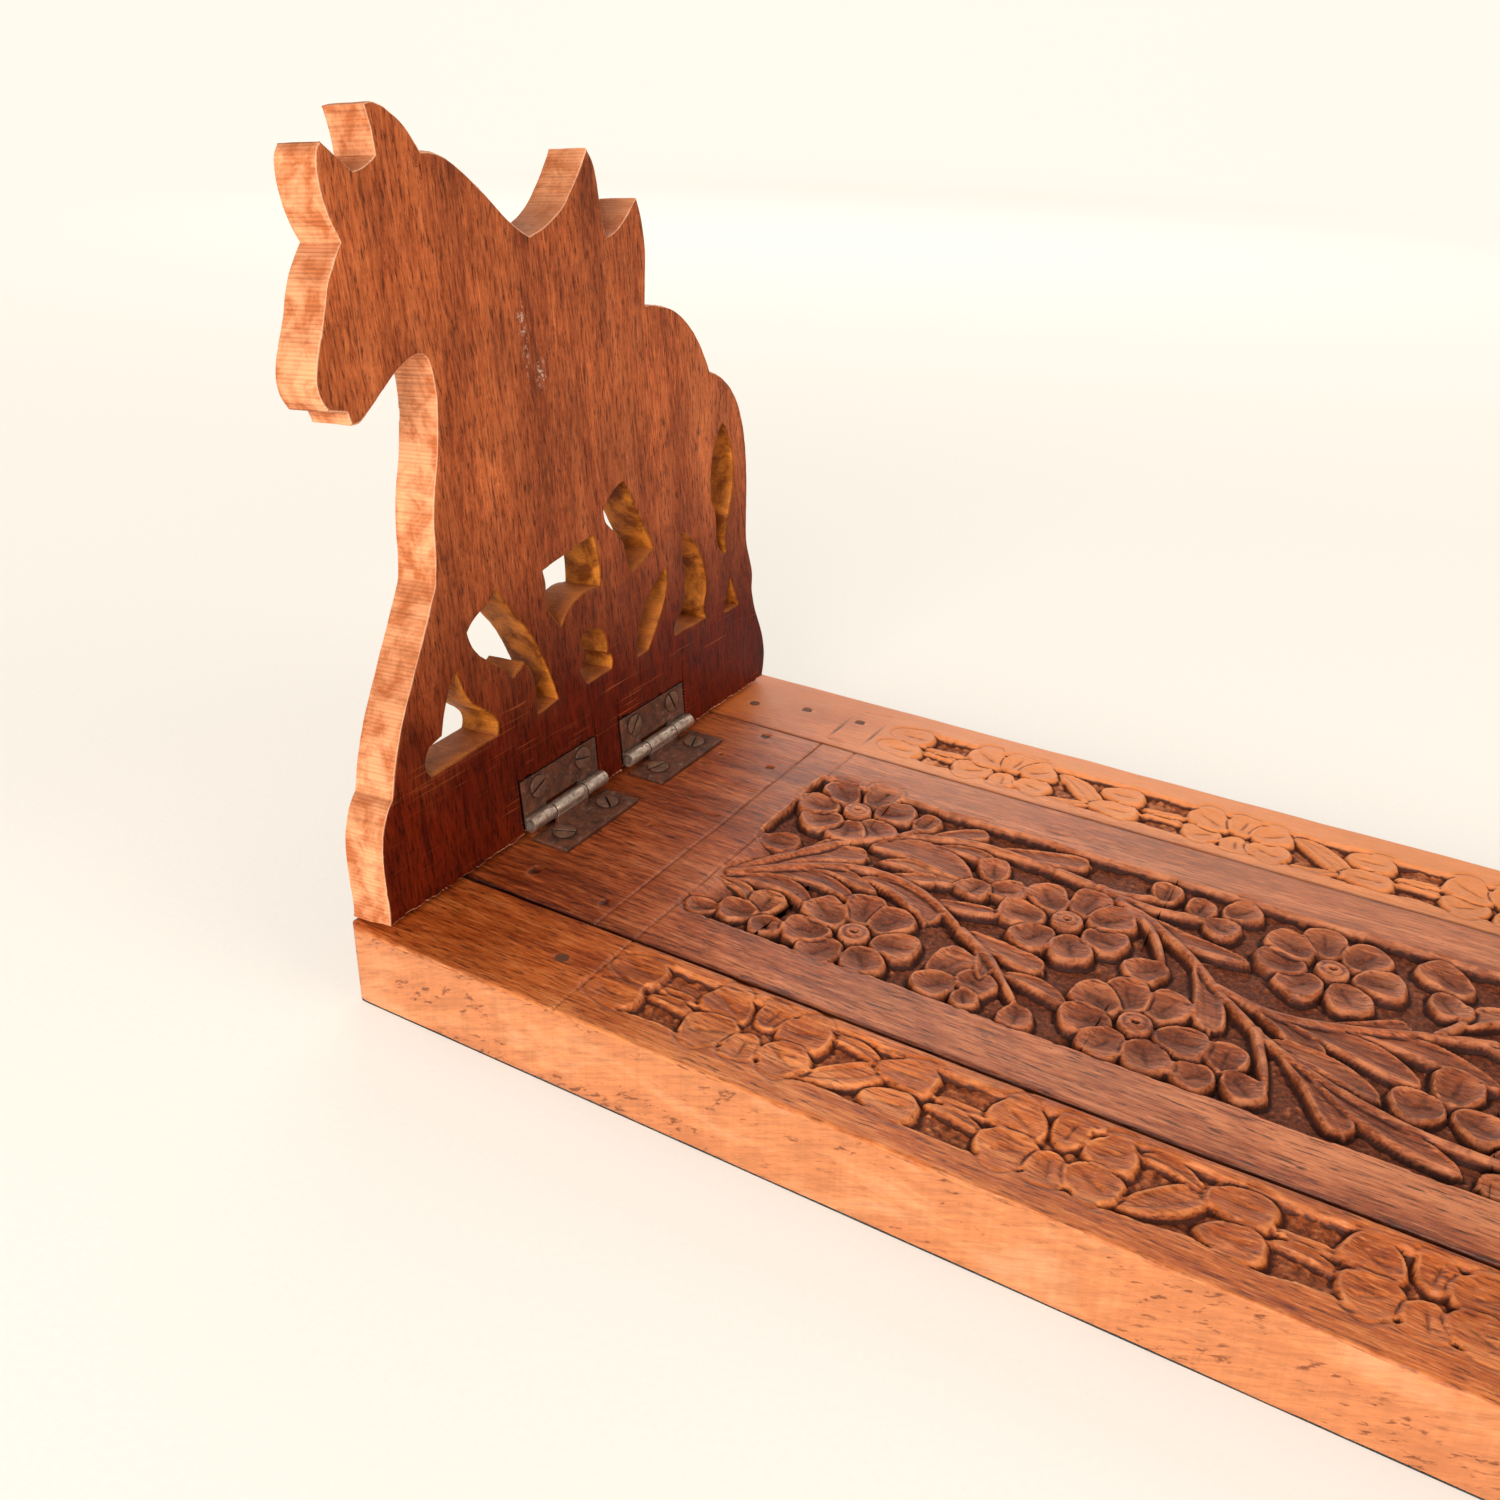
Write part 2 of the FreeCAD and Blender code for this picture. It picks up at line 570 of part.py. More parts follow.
def pocket(body, name, sketch, depth, offset=None, reverse=False):
    """Cut a sketch into a body, and stop if nothing was cut away."""
    before = body.Shape.Volume
    feature = body.newObject("PartDesign::Pocket", name)
    feature.Profile = sketch
    if offset:
        bind(sketch, AttachmentOffset__Base__z=offset)
    bind(feature, Length=depth)
    feature.Reversed = reverse
    doc.recompute()
    if body.Shape.Volume > before - 1.0:
        raise RuntimeError(f"{name} cuts nothing")


def make_panel(side):
    """A horse sawn from one plank, with mortises for the hinges on its inner face."""
    node = f"{side}_horse_panel"
    outward = SIDES[side]
    body = doc.addObject("PartDesign::Body", node)
    outline = sketch_on(body, f"{node}_outline")
    draw_loop(outline, HORSE_OUTLINE)
    bind(outline, AttachmentOffset__Base__z=f"{outward} * dims.panel_setback")
    pad = body.newObject("PartDesign::Pad", f"{node}_plank")
    pad.Profile = outline
    bind(pad, Length="dims.panel_thickness")
    pad.Reversed = outward < 0
    doc.recompute()
    openings = sketch_on(body, f"{node}_openings")
    for loop in HORSE_OPENINGS:
        draw_loop(openings, loop)
    pocket(body, f"{node}_sawn_openings", openings, "2 * dims.panel_thickness",
           f"{outward} * dims.panel_setback", reverse=outward > 0)
    mortises = sketch_on(body, f"{node}_mortises")
    half = size("hinge_length") / 2 + size("mortise_margin")
    for hinge in HINGES:
        middle = size(f"hinge_centre_{hinge}")
        draw_rectangle(mortises, (middle - half, PANEL_BOTTOM - 1.0),
                       (middle + half + size("mortise_margin"), size("leaf_width") + size("mortise_margin")))
    pocket(body, f"{node}_mortise_cut", mortises, "dims.mortise_depth",
           f"{outward} * dims.panel_setback", reverse=outward > 0)
    pilots = sketch_on(body, f"{node}_pilots")
    radius = size("screw_shank_radius") + size("fit_clearance")
    for hinge in HINGES:
        for sign in (-1, 1):
            centre = FreeCAD.Vector(size(f"hinge_centre_{hinge}") + sign * size("screw_spacing") / 2,
                                    size("panel_screw_reach"), 0)
            pilots.addGeometry(Part.Circle(centre, FreeCAD.Vector(0, 0, 1), radius), False)
    pocket(body, f"{node}_pilot_holes", pilots,
           "dims.mortise_depth - dims.leaf_thickness + dims.screw_length",
           f"{outward} * dims.panel_setback", reverse=outward > 0)
    place_on_axis(body, side, leaning=True)
    finished(node, body)


# ---------------------------------------------------------------- assembly

make_rail("front", FRONT_NAILS)
make_rail("back", BACK_NAILS)
make_end_block()
dowels = dowel_rods("block_dowel", ["front", "back"], "dims.dowel_radius")
finished("block_dowels", group("block_dowels", dowels))
make_board()
make_fork_batten()
make_board_batten()
for side in SIDES:
    make_panel(side)
    make_base_screws(side)
    make_panel_screws(side)
    for hinge in HINGES:
        make_hinge(side, hinge)
doc.recompute()

failed = [obj.Name for obj in doc.Objects if {"Invalid", "Error"} & set(obj.State)]
failed += [node for node, obj in nodes.items() if obj.Shape.isNull() or not obj.Shape.isValid()]
if failed:
    raise RuntimeError(f"failed objects: {failed}")

os.makedirs("parts", exist_ok=True)
for node, obj in nodes.items():
    obj.Shape.exportStep(f"parts/{node}.step")
    bounds = obj.Shape.BoundBox
    print(f"{node}: {len(obj.Shape.Solids)} solids, {obj.Shape.Volume:.1f} mm3, "
          f"X {bounds.XMin:.2f}..{bounds.XMax:.2f}, Y {bounds.YMin:.2f}..{bounds.YMax:.2f}, "
          f"Z {bounds.ZMin:.2f}..{bounds.ZMax:.2f}")
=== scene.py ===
import json
import math
import bmesh
import bpy
import numpy as np
from mathutils import Matrix, Quaternion, Vector, kdtree
from mathutils.geometry import delaunay_2d_cdt

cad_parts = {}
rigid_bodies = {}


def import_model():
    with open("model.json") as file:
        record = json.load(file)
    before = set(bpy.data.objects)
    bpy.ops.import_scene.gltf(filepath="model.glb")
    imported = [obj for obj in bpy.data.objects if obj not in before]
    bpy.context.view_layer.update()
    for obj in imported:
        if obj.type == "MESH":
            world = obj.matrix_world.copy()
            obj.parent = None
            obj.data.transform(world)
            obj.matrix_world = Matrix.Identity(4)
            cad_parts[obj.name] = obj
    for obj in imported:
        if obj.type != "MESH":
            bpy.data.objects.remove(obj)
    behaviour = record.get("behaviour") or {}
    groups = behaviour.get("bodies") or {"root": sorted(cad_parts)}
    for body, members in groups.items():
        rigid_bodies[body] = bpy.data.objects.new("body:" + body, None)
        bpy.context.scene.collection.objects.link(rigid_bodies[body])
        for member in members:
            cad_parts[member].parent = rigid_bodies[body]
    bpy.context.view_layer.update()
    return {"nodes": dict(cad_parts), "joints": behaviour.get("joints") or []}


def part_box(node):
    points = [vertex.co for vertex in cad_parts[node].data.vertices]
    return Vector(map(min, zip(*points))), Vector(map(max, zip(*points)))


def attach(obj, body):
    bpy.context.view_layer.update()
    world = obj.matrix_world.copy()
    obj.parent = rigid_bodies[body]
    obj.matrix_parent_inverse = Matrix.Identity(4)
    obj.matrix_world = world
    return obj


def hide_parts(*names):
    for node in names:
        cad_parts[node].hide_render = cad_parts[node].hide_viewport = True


# Looks of the sliding, folding book stand: hand-carved boards, sawn horse panels and worn butt hinges.
# Shapes are worked out in millimetres in the stand's own frame and turned into metres when a mesh is made.

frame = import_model()
MM = 0.001


def corners(node):
    """Lowest and highest corner of a CAD node, in mm."""
    low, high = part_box(node)
    return np.array(low) / MM, np.array(high) / MM


RAIL_LOW, RAIL_HIGH = corners("front_rail")
BASE_LEFT, BASE_RIGHT = RAIL_LOW[0], RAIL_HIGH[0]
BASE_FRONT, BASE_BACK = RAIL_LOW[1], corners("back_rail")[1][1]
BASE_LENGTH = BASE_RIGHT - BASE_LEFT


# ---------------------------------------------------------------- small tools

def noise(x, y, scale, seed):
    """Smooth random lumps between -1 and 1, about one per scale."""
    table = np.random.default_rng(seed).uniform(-1, 1, (128, 128))
    gx, gy = np.asarray(x) / scale, np.asarray(y) / scale
    ix, iy = np.floor(gx).astype(int), np.floor(gy).astype(int)
    fx, fy = gx - ix, gy - iy
    fx, fy = fx * fx * (3 - 2 * fx), fy * fy * (3 - 2 * fy)
    ix, iy, jx, jy = ix % 128, iy % 128, (ix + 1) % 128, (iy + 1) % 128
    low = table[ix, iy] * (1 - fx) + table[jx, iy] * fx
    high = table[ix, jy] * (1 - fx) + table[jx, jy] * fx
    return low * (1 - fy) + high * fy


def smooth(low, high, value):
    """0 below low, 1 above high, and a smooth step between."""
    t = np.clip((value - low) / (high - low), 0, 1)
    return t * t * (3 - 2 * t)


def curve_through(points, count):
    """A smooth line through given points (Catmull-Rom), as count places."""
    p = np.array([points[0], *points, points[-1]], float)
    spans = len(points) - 1
    where = np.linspace(0, spans, count)
    span = np.minimum(where.astype(int), spans - 1)
    t = (where - span)[:, None]
    a, b, c, d = p[span], p[span + 1], p[span + 2], p[span + 3]
    return 0.5 * (2 * b + (c - a) * t + (2 * a - 5 * b + 4 * c - d) * t ** 2
                  + (3 * b - a - 3 * c + d) * t ** 3)


def linked(name, data):
    obj = bpy.data.objects.new(name, data)
    bpy.context.scene.collection.objects.link(obj)
    return obj


def dressed(name, mesh, sharp_angle, body, material, replaces):
    """A finished mesh as a visible piece that rides on a body and stands for CAD nodes."""
    obj = linked(name, mesh)
    mesh.validate()
    mesh.shade_smooth()
    mesh.set_sharp_from_angle(angle=math.radians(sharp_angle))
    mesh.update()
    mesh.materials.append(material)
    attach(obj, body)
    if replaces:
        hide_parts(*replaces)


def make_object(name, verts, faces, attributes, body, material, replaces=()):
    """A mesh piece from places in mm, with one value of each attribute at every vertex."""
    mesh = bpy.data.meshes.new(name)
    mesh.from_pydata((np.asarray(verts) * MM).tolist(), [], faces)
    for key, values in attributes.items():
        layer = mesh.attributes.new(key, "FLOAT", "POINT")
        layer.data.foreach_set("value", np.asarray(values, np.float32))
    dressed(name, mesh, 48, body, material, replaces)


# ---------------------------------------------------------------- relief carving

class Relief:
    """A carved surface sampled at places x, y in mm. Height is 0 at the uncarved wood."""

    def __init__(self, x, y):
        self.x = np.asarray(x, float).ravel()
        self.y = np.asarray(y, float).ravel()
        self.height = np.zeros_like(self.x)

    def near(self, low, high):
        return np.flatnonzero((self.x > low[0]) & (self.x < high[0])
                              & (self.y > low[1]) & (self.y < high[1]))

    def around(self, cx, cy, reach):
        """The places within a square about a middle, and how far off it they lie."""
        index = self.near((cx - reach, cy - reach), (cx + reach, cy + reach))
        return index, self.x[index] - cx, self.y[index] - cy

    def lay(self, index, edge, height, wall=0.46, moat=0.2):
        """Lay a shape over what is there. edge is the distance inside its outline, negative outside."""
        cover = smooth(-wall, wall, edge)
        self.height[index] += (height - self.height[index]) * cover
        self.height[index] -= moat * np.exp(-((edge + 0.45) / 0.36) ** 2)

    def dish(self, cx, cy, along, across, turn=0.0, rim=-0.06, depth=1.15, moat=0.28):
        """A petal, a bud's lobe or an oval leaf: a shallow spoon with its heel towards -turn."""
        index, dx, dy = self.around(cx, cy, 1.5 * max(along, across))
        c, s = math.cos(math.radians(turn)), math.sin(math.radians(turn))
        u = (dx * c + dy * s) / along
        v = (dy * c - dx * s) / (across * (1 + 0.26 * np.clip(u, -1, 1)))
        wave = 0.05 * noise(dx + 7 * cx, dy + 5 * cy, 1.9, 3)
        far = np.maximum((np.abs(u) ** 2.3 + np.abs(v) ** 2.3) ** (1 / 2.3) + wave, 0)
        spoon = depth * np.clip(1 - far ** 2.6, 0, 1) * (1 - 0.35 * u)
        heel = 0.45 * depth * np.clip(-u, 0, 1)
        crease = 0.30 * np.exp(-(v / 0.13) ** 2) * smooth(0.8, 0.2, np.abs(u - 0.1))
        round_edge = 0.12 * smooth(0.90, 1.02, far)
        uneven = 0.08 * noise(dx + 3 * cx, dy + 9 * cy, 1.2, 4)
        self.lay(index, (1 - far) * min(along, across), rim - spoon - heel - crease - round_edge + uneven,
                 moat=moat)

    def boss(self, cx, cy, radius, top=-0.3, hole=0.7):
        """A flower's ringed centre with its drilled hole."""
        index, dx, dy = self.around(cx, cy, 1.5 * radius)
        far = np.hypot(dx, dy)
        dome = top - 0.35 * (far / radius) ** 2
        ring = 0.22 * np.exp(-((far - 0.62 * radius) / 0.26) ** 2)
        bore = 1.2 * smooth(hole + 0.2, hole - 0.2, far)
        self.lay(index, radius - far, dome - ring - bore, wall=0.25, moat=0.15)

    def flower(self, cx, cy, petals, size=1.0):
        """A flower from the middles of its petals."""
        for number, (px, py) in enumerate(petals):
            dx, dy = px - cx, py - cy
            far = math.hypot(dx, dy)
            away = 0.55 * far + 3.6 * size
            self.dish(cx + dx * away / far, cy + dy * away / far, 4.9 * size, 4.15 * size,
                      math.degrees(math.atan2(dy, dx)), rim=-0.06 - 0.16 * (number * 3 % 4) / 3)
        self.boss(cx, cy, 3.2 * size)

    def leaf(self, points, width, shape="leaf", top=-0.15, depth=0.8, moat=0.2):
        """A curved leaf, blade, stem or plain groove along a line through points."""
        line = curve_through(points, 10 * len(points))
        low, high = line.min(0) - width, line.max(0) + width
        index = self.near(low, high)
        if not len(index):
            return
        x, y = self.x[index][:, None], self.y[index][:, None]
        a, step = line[:-1], np.diff(line, axis=0)
        long = (step ** 2).sum(1)
        t = np.clip(((x - a[:, 0]) * step[:, 0] + (y - a[:, 1]) * step[:, 1]) / long, 0, 1)
        dx, dy = x - a[:, 0] - t * step[:, 0], y - a[:, 1] - t * step[:, 1]
        away = np.hypot(dx, dy)
        best = away.argmin(1)
        row = np.arange(len(index))
        away, t = away[row, best], t[row, best]
        side = np.sign(dy[row, best] * step[best, 0] - dx[row, best] * step[best, 1])
        place = (best + t) / len(a)
        half = 0.5 * width * {
            "leaf": np.sin(math.pi * np.clip(place, 0, 1) ** 1.15) ** 0.7 + 0.07,
            "blade": np.clip(place, 0, 1) ** 0.6 * np.sqrt(np.clip(1 - place ** 7, 0, 1)) + 0.12,
            "stem": 1 - 0.35 * place,
            "groove": smooth(0, 0.12, place) * smooth(1, 0.88, place) + 0.02,
        }[shape]
        across = np.clip(away / half, 0, 1.3)
        if shape == "stem":
            height = top - 0.55 * across ** 2
        elif shape == "groove":
            height = np.minimum(self.height[index], -depth * np.clip(1 - across, 0, 1))
            self.height[index] = height
            return
        else:
            lean = 0.5 * side * across
            height = top - depth * np.clip(1 - across ** 2, 0, 1) * (1 + lean)
            height -= 0.2 * smooth(0.85, 1.1, across)
            height -= 0.16 * np.exp(-((across * side + 0.25) / 0.13) ** 2) * smooth(1.0, 0.8, place)
            height += 0.10 * noise(14 * across * side, 2.0 * place, 2.0, 12) * (width > 3.5)
        height = height + 0.06 * noise(self.x[index], self.y[index], 1.6, 11)
        self.lay(index, half - away, height, moat=moat)

    def sink_field(self, low, high, depth, seed, ragged=0.35, soft_ends=None, rough=1.0):
        """Lower a field to a chopped ground with steep, slightly uneven walls.

        soft_ends is (height, run): below that height the left end slopes down over a run instead of
        dropping, and so does the right end above the same height measured from the field's far edge.
        """
        x, y = self.x, self.y
        wobble = ragged * noise(x, y, 6, seed) + 0.15 * noise(x, y, 1.4, seed + 5)
        sides = np.minimum(y - low[1], high[1] - y) + wobble
        ends = np.minimum(x - low[0], high[0] - x) + wobble
        sunk = smooth(-0.15, 0.55, sides)
        if soft_ends:
            level, run = soft_ends
            left = x < (low[0] + high[0]) / 2
            mirrored = y - low[1] - high[1]
            soft = np.where(left, smooth(level + 2, level - 2, y), smooth(-level - 2, 2 - level, mirrored))
            width = 0.55 + run * soft
            sunk = sunk * np.clip((ends + 0.15) / width, 0, 1) ** (1 + 0.4 * soft)
        else:
            sunk = sunk * smooth(-0.15, 0.55, ends)
        chops = 0.20 * noise(x, y, 1.1, seed + 1) + 0.26 * noise(x, y * 0.6, 3.4, seed + 2)
        gouge = 0.20 * np.abs(noise(x + 0.4 * y, y, 0.7, seed + 3))
        lift = 0.5 * smooth(0.25, 0.9, noise(x, y, 5.5, seed + 4))
        self.height += (-depth + rough * (chops - gouge + lift) - self.height) * sunk


# Places on the base are given from its left end and its front edge, in mm.
FIELD_LOW, FIELD_HIGH = (47.6, 38.2), (BASE_LENGTH - 47.6, 101.6)
FIELD_DEPTH = 2.4
STEM_WIDTH = 2.3
# The vine at the right end is the left end turned about the middle of the board: Y becomes this less Y.
TURNED_Y = 140.0
SCRATCHES = 70

# Both ends of the vine field hold these; the right end holds them turned half a turn.
END_FLOWERS = (
    (61, 92.3, ((63, 101), (69, 96), (68, 87), (62.8, 82.8), (55.6, 84.2), (51.5, 90.5), (54.2, 98.6))),
    (81.6, 49.8, ((79.6, 58.6), (86, 57.6), (90.2, 50.4), (86.6, 42.8), (78.4, 41.4), (72.2, 46),
                   (73.2, 54))),
)
END_LOBES = (
    (53, 71.5, 4.4, 3.8, 0),
    (62, 50, 3.9, 3.6, 90), (58.6, 44.8, 4, 3.6, 200), (65.6, 43.4, 3.6, 3.5, 310), (52.3, 42, 3.3, 2.6, 220),
    (96.2, 85.6, 4.2, 3.4, 110), (101, 79.8, 4.2, 3.6, 10), (95.2, 77.3, 3.8, 3.4, 260),
    (101.3, 50.6, 5.2, 4.4, 60), (101, 43.6, 4.4, 3.9, 240), (107.6, 47.6, 4.1, 3.6, 330),
    (107.2, 42.4, 3, 2.6, 300),
    (76.4, 95.4, 3.6, 3, 70),
)
END_STEMS = (
    ((50.5, 56), (58, 69), (69, 83.5), (80, 90.3), (92, 93.4), (108, 92.3)),
    ((50.5, 55.5), (60, 64), (71, 70.5), (81, 71.3), (90, 68), (99, 61.5), (106, 56)),
    ((72.5, 86), (75.2, 89.2), (76.4, 93)),
)
END_LEAVES = (
    ((51.5, 56.5), (57.5, 66), (64.5, 73), (71.5, 76), 7.6, "blade"),
    ((58.5, 69), (62, 76), (65.5, 84), 3.4, "leaf"),
    ((50.5, 55), (58, 60.5), (67, 63), (78, 59.5), 4.8, "leaf"),
    ((50, 53.5), (57, 56.6), (64, 57), (71, 53), 4.6, "leaf"),
    ((50.5, 52.5), (56, 51.8), (60.5, 47.5), 3.2, "leaf"),
    ((61, 65), (68, 67.6), (79, 65), 4, "leaf"),
    ((70, 80.6), (77, 83.6), (86, 82.5), (94, 77.6), 8.6, "leaf"),
    ((74, 76), (80, 78), (88, 76.4), (92, 78), 4.4, "leaf"),
    ((79, 90), (84, 94.2), (90, 98.2), 5.6, "blade"),
    ((82, 88), (90, 89.4), (98, 87), 4.2, "leaf"),
    ((92, 93), (101, 95), (112.5, 98.6), 6.6, "blade"),
    ((76, 71), (82, 73.2), (87.5, 75.6), 4.6, "blade"),
    ((74, 68.8), (83, 68.6), (90, 65), (91.5, 60.5), 6.8, "leaf"),
    ((89.5, 68.6), (96, 69.2), (103.5, 71.6), 3.6, "leaf"),
)

MIDDLE_FLOWERS = (
    (115.2, 76, ((117.2, 84.6), (109.2, 82.4), (105.8, 74), (110.8, 67), (119, 67), (124, 73.6),
                   (123.4, 81.6))),
    (136, 51.8, ((139.6, 59.6), (132.4, 59.6), (127, 55.8), (127.4, 48.4), (132.4, 43.4), (140, 44),
                   (144.2, 51.4))),
    (163.4, 87.2, ((160.6, 96.4), (168.6, 94.8), (172.2, 87.6), (167.4, 79.6), (158.6, 79.4), (153.4, 84.8),
                   (153.8, 92.4))),
)
MIDDLE_LOBES = (
    (117.2, 42.4, 3.9, 3.3, 280), (133.4, 68.4, 4.6, 3.8, 230),
    (129.3, 96.6, 3.5, 3.2, 90), (136.8, 94.8, 3.3, 3.1, 80), (141.6, 90.2, 3.9, 3.5, 330),
    (144.2, 98, 4.2, 3.5, 40),
    (152, 51, 3.9, 3.7, 90), (148.3, 43.4, 4.2, 3.7, 230), (156, 45, 4.2, 3.6, 310),
    (187.4, 63.6, 4.9, 4.2, 80), (182.2, 55.8, 4.7, 4.3, 210), (191.4, 55.8, 4.4, 3.9, 330),
    (182.6, 96, 5.6, 4.2, 150), (183.6, 87.4, 4.4, 3.4, 300),
)
MIDDLE_STEMS = (
    ((108, 92.3), (118, 90.4), (128, 85.6), (138, 78), (146, 69.6), (153, 62.6), (161, 56.6),
     (171, 52), (183, 48.6), (197, 47.7)),
    ((99, 61.5), (107, 55.6), (112.5, 49.5), (116.6, 44.8)),
    ((117, 91), (124, 91.4), (130, 94.6)),
    ((119, 90), (129, 89.2), (138, 91.2)),
    ((122, 88.4), (130, 82), (134.4, 74), (135.4, 68.6)),
    ((146, 70), (156, 67.4), (168, 70), (182, 76), (192, 79.6)),
    ((183, 77), (186, 82), (187.4, 88)),
    ((155, 60.8), (158, 52), (159.4, 46.4)),
)
MIDDLE_LEAVES = (
    ((126, 86.8), (136, 82.2), (149.5, 81.2), 4.6, "leaf"),
    ((141, 75.5), (145, 67), (147.6, 57.2), 6.6, "blade"),
    ((99, 62), (107, 60), (116.5, 58), 6.4, "blade"),
    ((103, 58.4), (106.6, 55), (107.4, 50), 3.8, "leaf"),
    ((110, 53), (117, 53.2), (124, 50.6), 3.8, "leaf"),
    ((165, 69.4), (172, 72.6), (178.4, 76.8), 5.2, "blade"),
    ((154, 67.6), (160, 64.4), (165.4, 59), 7, "blade"),
    ((159, 67), (171, 65.6), (182, 61), 6.6, "leaf"),
    ((168, 70.4), (181, 71.2), (194, 67.4), 5.6, "leaf"),
    ((156, 59.6), (167, 57.8), (176.6, 53.8), 5.4, "leaf"),
    ((160, 57.6), (167, 51), (172.6, 42.4), 6.6, "blade"),
    ((165, 54.6), (177, 47.6), (190, 42.6), 5.6, "leaf"),
    ((186, 82), (190, 87.6), (196, 90.8), 5, "leaf"),
    ((190, 79), (197, 78.6), (203, 74.6), 5, "leaf"),
    ((193, 47.6), (199, 52.6), (205, 54.8), 4.6, "leaf"),
)


def carve_vine(relief):
    """The scrolling vine of the tongue board; its right end is its left end turned half a turn."""
    relief.sink_field(FIELD_LOW, FIELD_HIGH, FIELD_DEPTH, seed=21, soft_ends=(72.0, 9.0))
    for turn, place in ((0, lambda p: p), (180, lambda p: (BASE_LENGTH - p[0], TURNED_Y - p[1]))):
        for *points, width, shape in END_LEAVES:
            relief.leaf([place(p) for p in points], width, shape)
        for points in END_STEMS:
            relief.leaf([place(p) for p in points], STEM_WIDTH, "stem")
        for x, y, along, across, angle in END_LOBES:
            relief.dish(*place((x, y)), along, across, angle + turn)
        for x, y, petals in END_FLOWERS:
            relief.flower(*place((x, y)), [place(p) for p in petals])
    for *points, width, shape in MIDDLE_LEAVES:
        relief.leaf(points, width, shape)
    for points in MIDDLE_STEMS:
        relief.leaf(points, STEM_WIDTH, "stem")
    for x, y, along, across, angle in MIDDLE_LOBES:
        relief.dish(x, y, along, across, angle)
    for x, y, petals in MIDDLE_FLOWERS:
        relief.flower(x, y, petals)


# One repeat of the rails' border: along the rail, and across from the border's middle.
BORDER_STEP = 53.8
BORDER_REPEATS = 4
BORDER_OVALS = ((0.0, 3.7, 5.4, 3.7), (0.3, -3.9, 5.2, 3.6))
BORDER_PETALS = (
    (19.6, 3.6, 4.8, 4.2, 150), (20.2, -3.8, 4.8, 4.2, 210), (27.2, 4.6, 3.6, 3.2, 80),
    (27, -4.4, 3.9, 3.4, 280),
    (34, 3.6, 4.6, 4.2, 20), (33.6, -3.4, 4.6, 4.2, 330),
)
BORDER_LEAVES = (
    ((5, 1.9), (10, 1.1), (16, 1.8), 2.2, "leaf"),
    ((5, -1), (10.5, -0.8), (16, -2), 2.2, "leaf"),
    ((37.5, -6), (42.5, -3.4), (47.5, 1.2), (50, 5.6), 5.6, "leaf"),
    ((37.5, 6), (43, 6.2), (48.5, 4), 2.8, "leaf"),
)


def carve_border(relief, middle, first, flip, seed):
    """The running border of a rail: pairs of ovals, a cluster of petals and a long leaf, cut by hand."""
    last = first + BORDER_REPEATS * BORDER_STEP
    relief.sink_field((first + 3.5, middle - 7.4), (last - 9.0, middle + 7.4), 1.45, seed, ragged=0.8,
                      rough=1.3)
    slip = np.random.default_rng(seed)
    for repeat in range(BORDER_REPEATS):
        start = first + repeat * BORDER_STEP

        def place(point):
            shift = slip.uniform(-0.45, 0.45, 2)
            return start + point[0] + shift[0], middle + flip * point[1] + 0.6 * shift[1]

        for *points, width, shape in BORDER_LEAVES:
            relief.leaf([place(p) for p in points], width, shape, depth=0.5)
        for x, y, along, across in BORDER_OVALS:
            relief.dish(*place((x, y)), along, across, 0, rim=-0.02, depth=0.4)
        for x, y, along, across, turn in BORDER_PETALS:
            grown = 1 + slip.uniform(-0.06, 0.10)
            relief.dish(*place((x, y)), along * grown, across * grown, flip * turn, rim=-0.06, depth=0.55)


# Knife lines across the left end, and the little holes and dents that nails and pins have left there.
SCRIBE_LINES = (39.3, 48.4)
DENTS = ((27.5, 130.2, 1.3), (42.2, 131.0, 1.2), (26.0, 111.4, 1.5), (35.0, 98.0, 1.2), (14.2, 126.0, 1.1),
         (17.7, 33.6, 1.5), (36.2, 31.8, 1.1), (40.4, 13.0, 1.3), (22.0, 97.5, 0.7), (27.0, 61.0, 0.6))


def mark_surface(relief):
    """Wear of a planed board: shallow waves, knife lines, dents and short scratches along the grain."""
    x, y = relief.x, relief.y
    relief.height += 0.07 * noise(x * 0.35, y, 9, 31) + 0.03 * noise(x * 0.2, y, 2.4, 32)
    inside = relief.height > -0.6
    for line in SCRIBE_LINES:
        bend = line + 0.25 * noise(y, y * 0, 14, 33)
        cut = 0.34 * np.exp(-((x - bend) / 0.26) ** 2) * (0.7 + 0.3 * noise(y, y * 0 + line, 5, 34))
        relief.height -= cut * inside
    for cx, cy, radius in DENTS:
        far = np.hypot(x - cx, y - cy)
        relief.height -= 0.45 * smooth(radius, 0.5 * radius, far)
    marks = np.random.default_rng(35)
    for _ in range(SCRATCHES):
        cx, cy = marks.uniform(0, BASE_LENGTH), marks.uniform(0, BASE_BACK - BASE_FRONT)
        long, turn = marks.uniform(4, 15), marks.uniform(-0.12, 0.12)
        relief.leaf(((cx, cy), (cx + long / 2, cy + turn * long / 2), (cx + long, cy + turn * long)),
                    marks.uniform(0.6, 1.0), "groove", depth=marks.uniform(0.12, 0.28))


# ---------------------------------------------------------------- boards

def spaced(low, high, step):
    return np.linspace(low, high, max(2, int(round((high - low) / step)) + 1))


def stations(low, high, fine_low, fine_high, fine, coarse):
    """Places along a board, closer together over its carving and at its rounded ends."""
    parts = []
    cuts = sorted({low, high, *(c for c in (fine_low, fine_high) if low < c < high)})
    for a, b in zip(cuts, cuts[1:]):
        step = fine if fine_low <= (a + b) / 2 <= fine_high else coarse
        parts.append(spaced(a, b, step))
    ends = [low + d for d in (0.1, 0.3, 0.6)] + [high - d for d in (0.1, 0.3, 0.6)]
    return np.unique(np.concatenate(parts + [ends]).round(4))


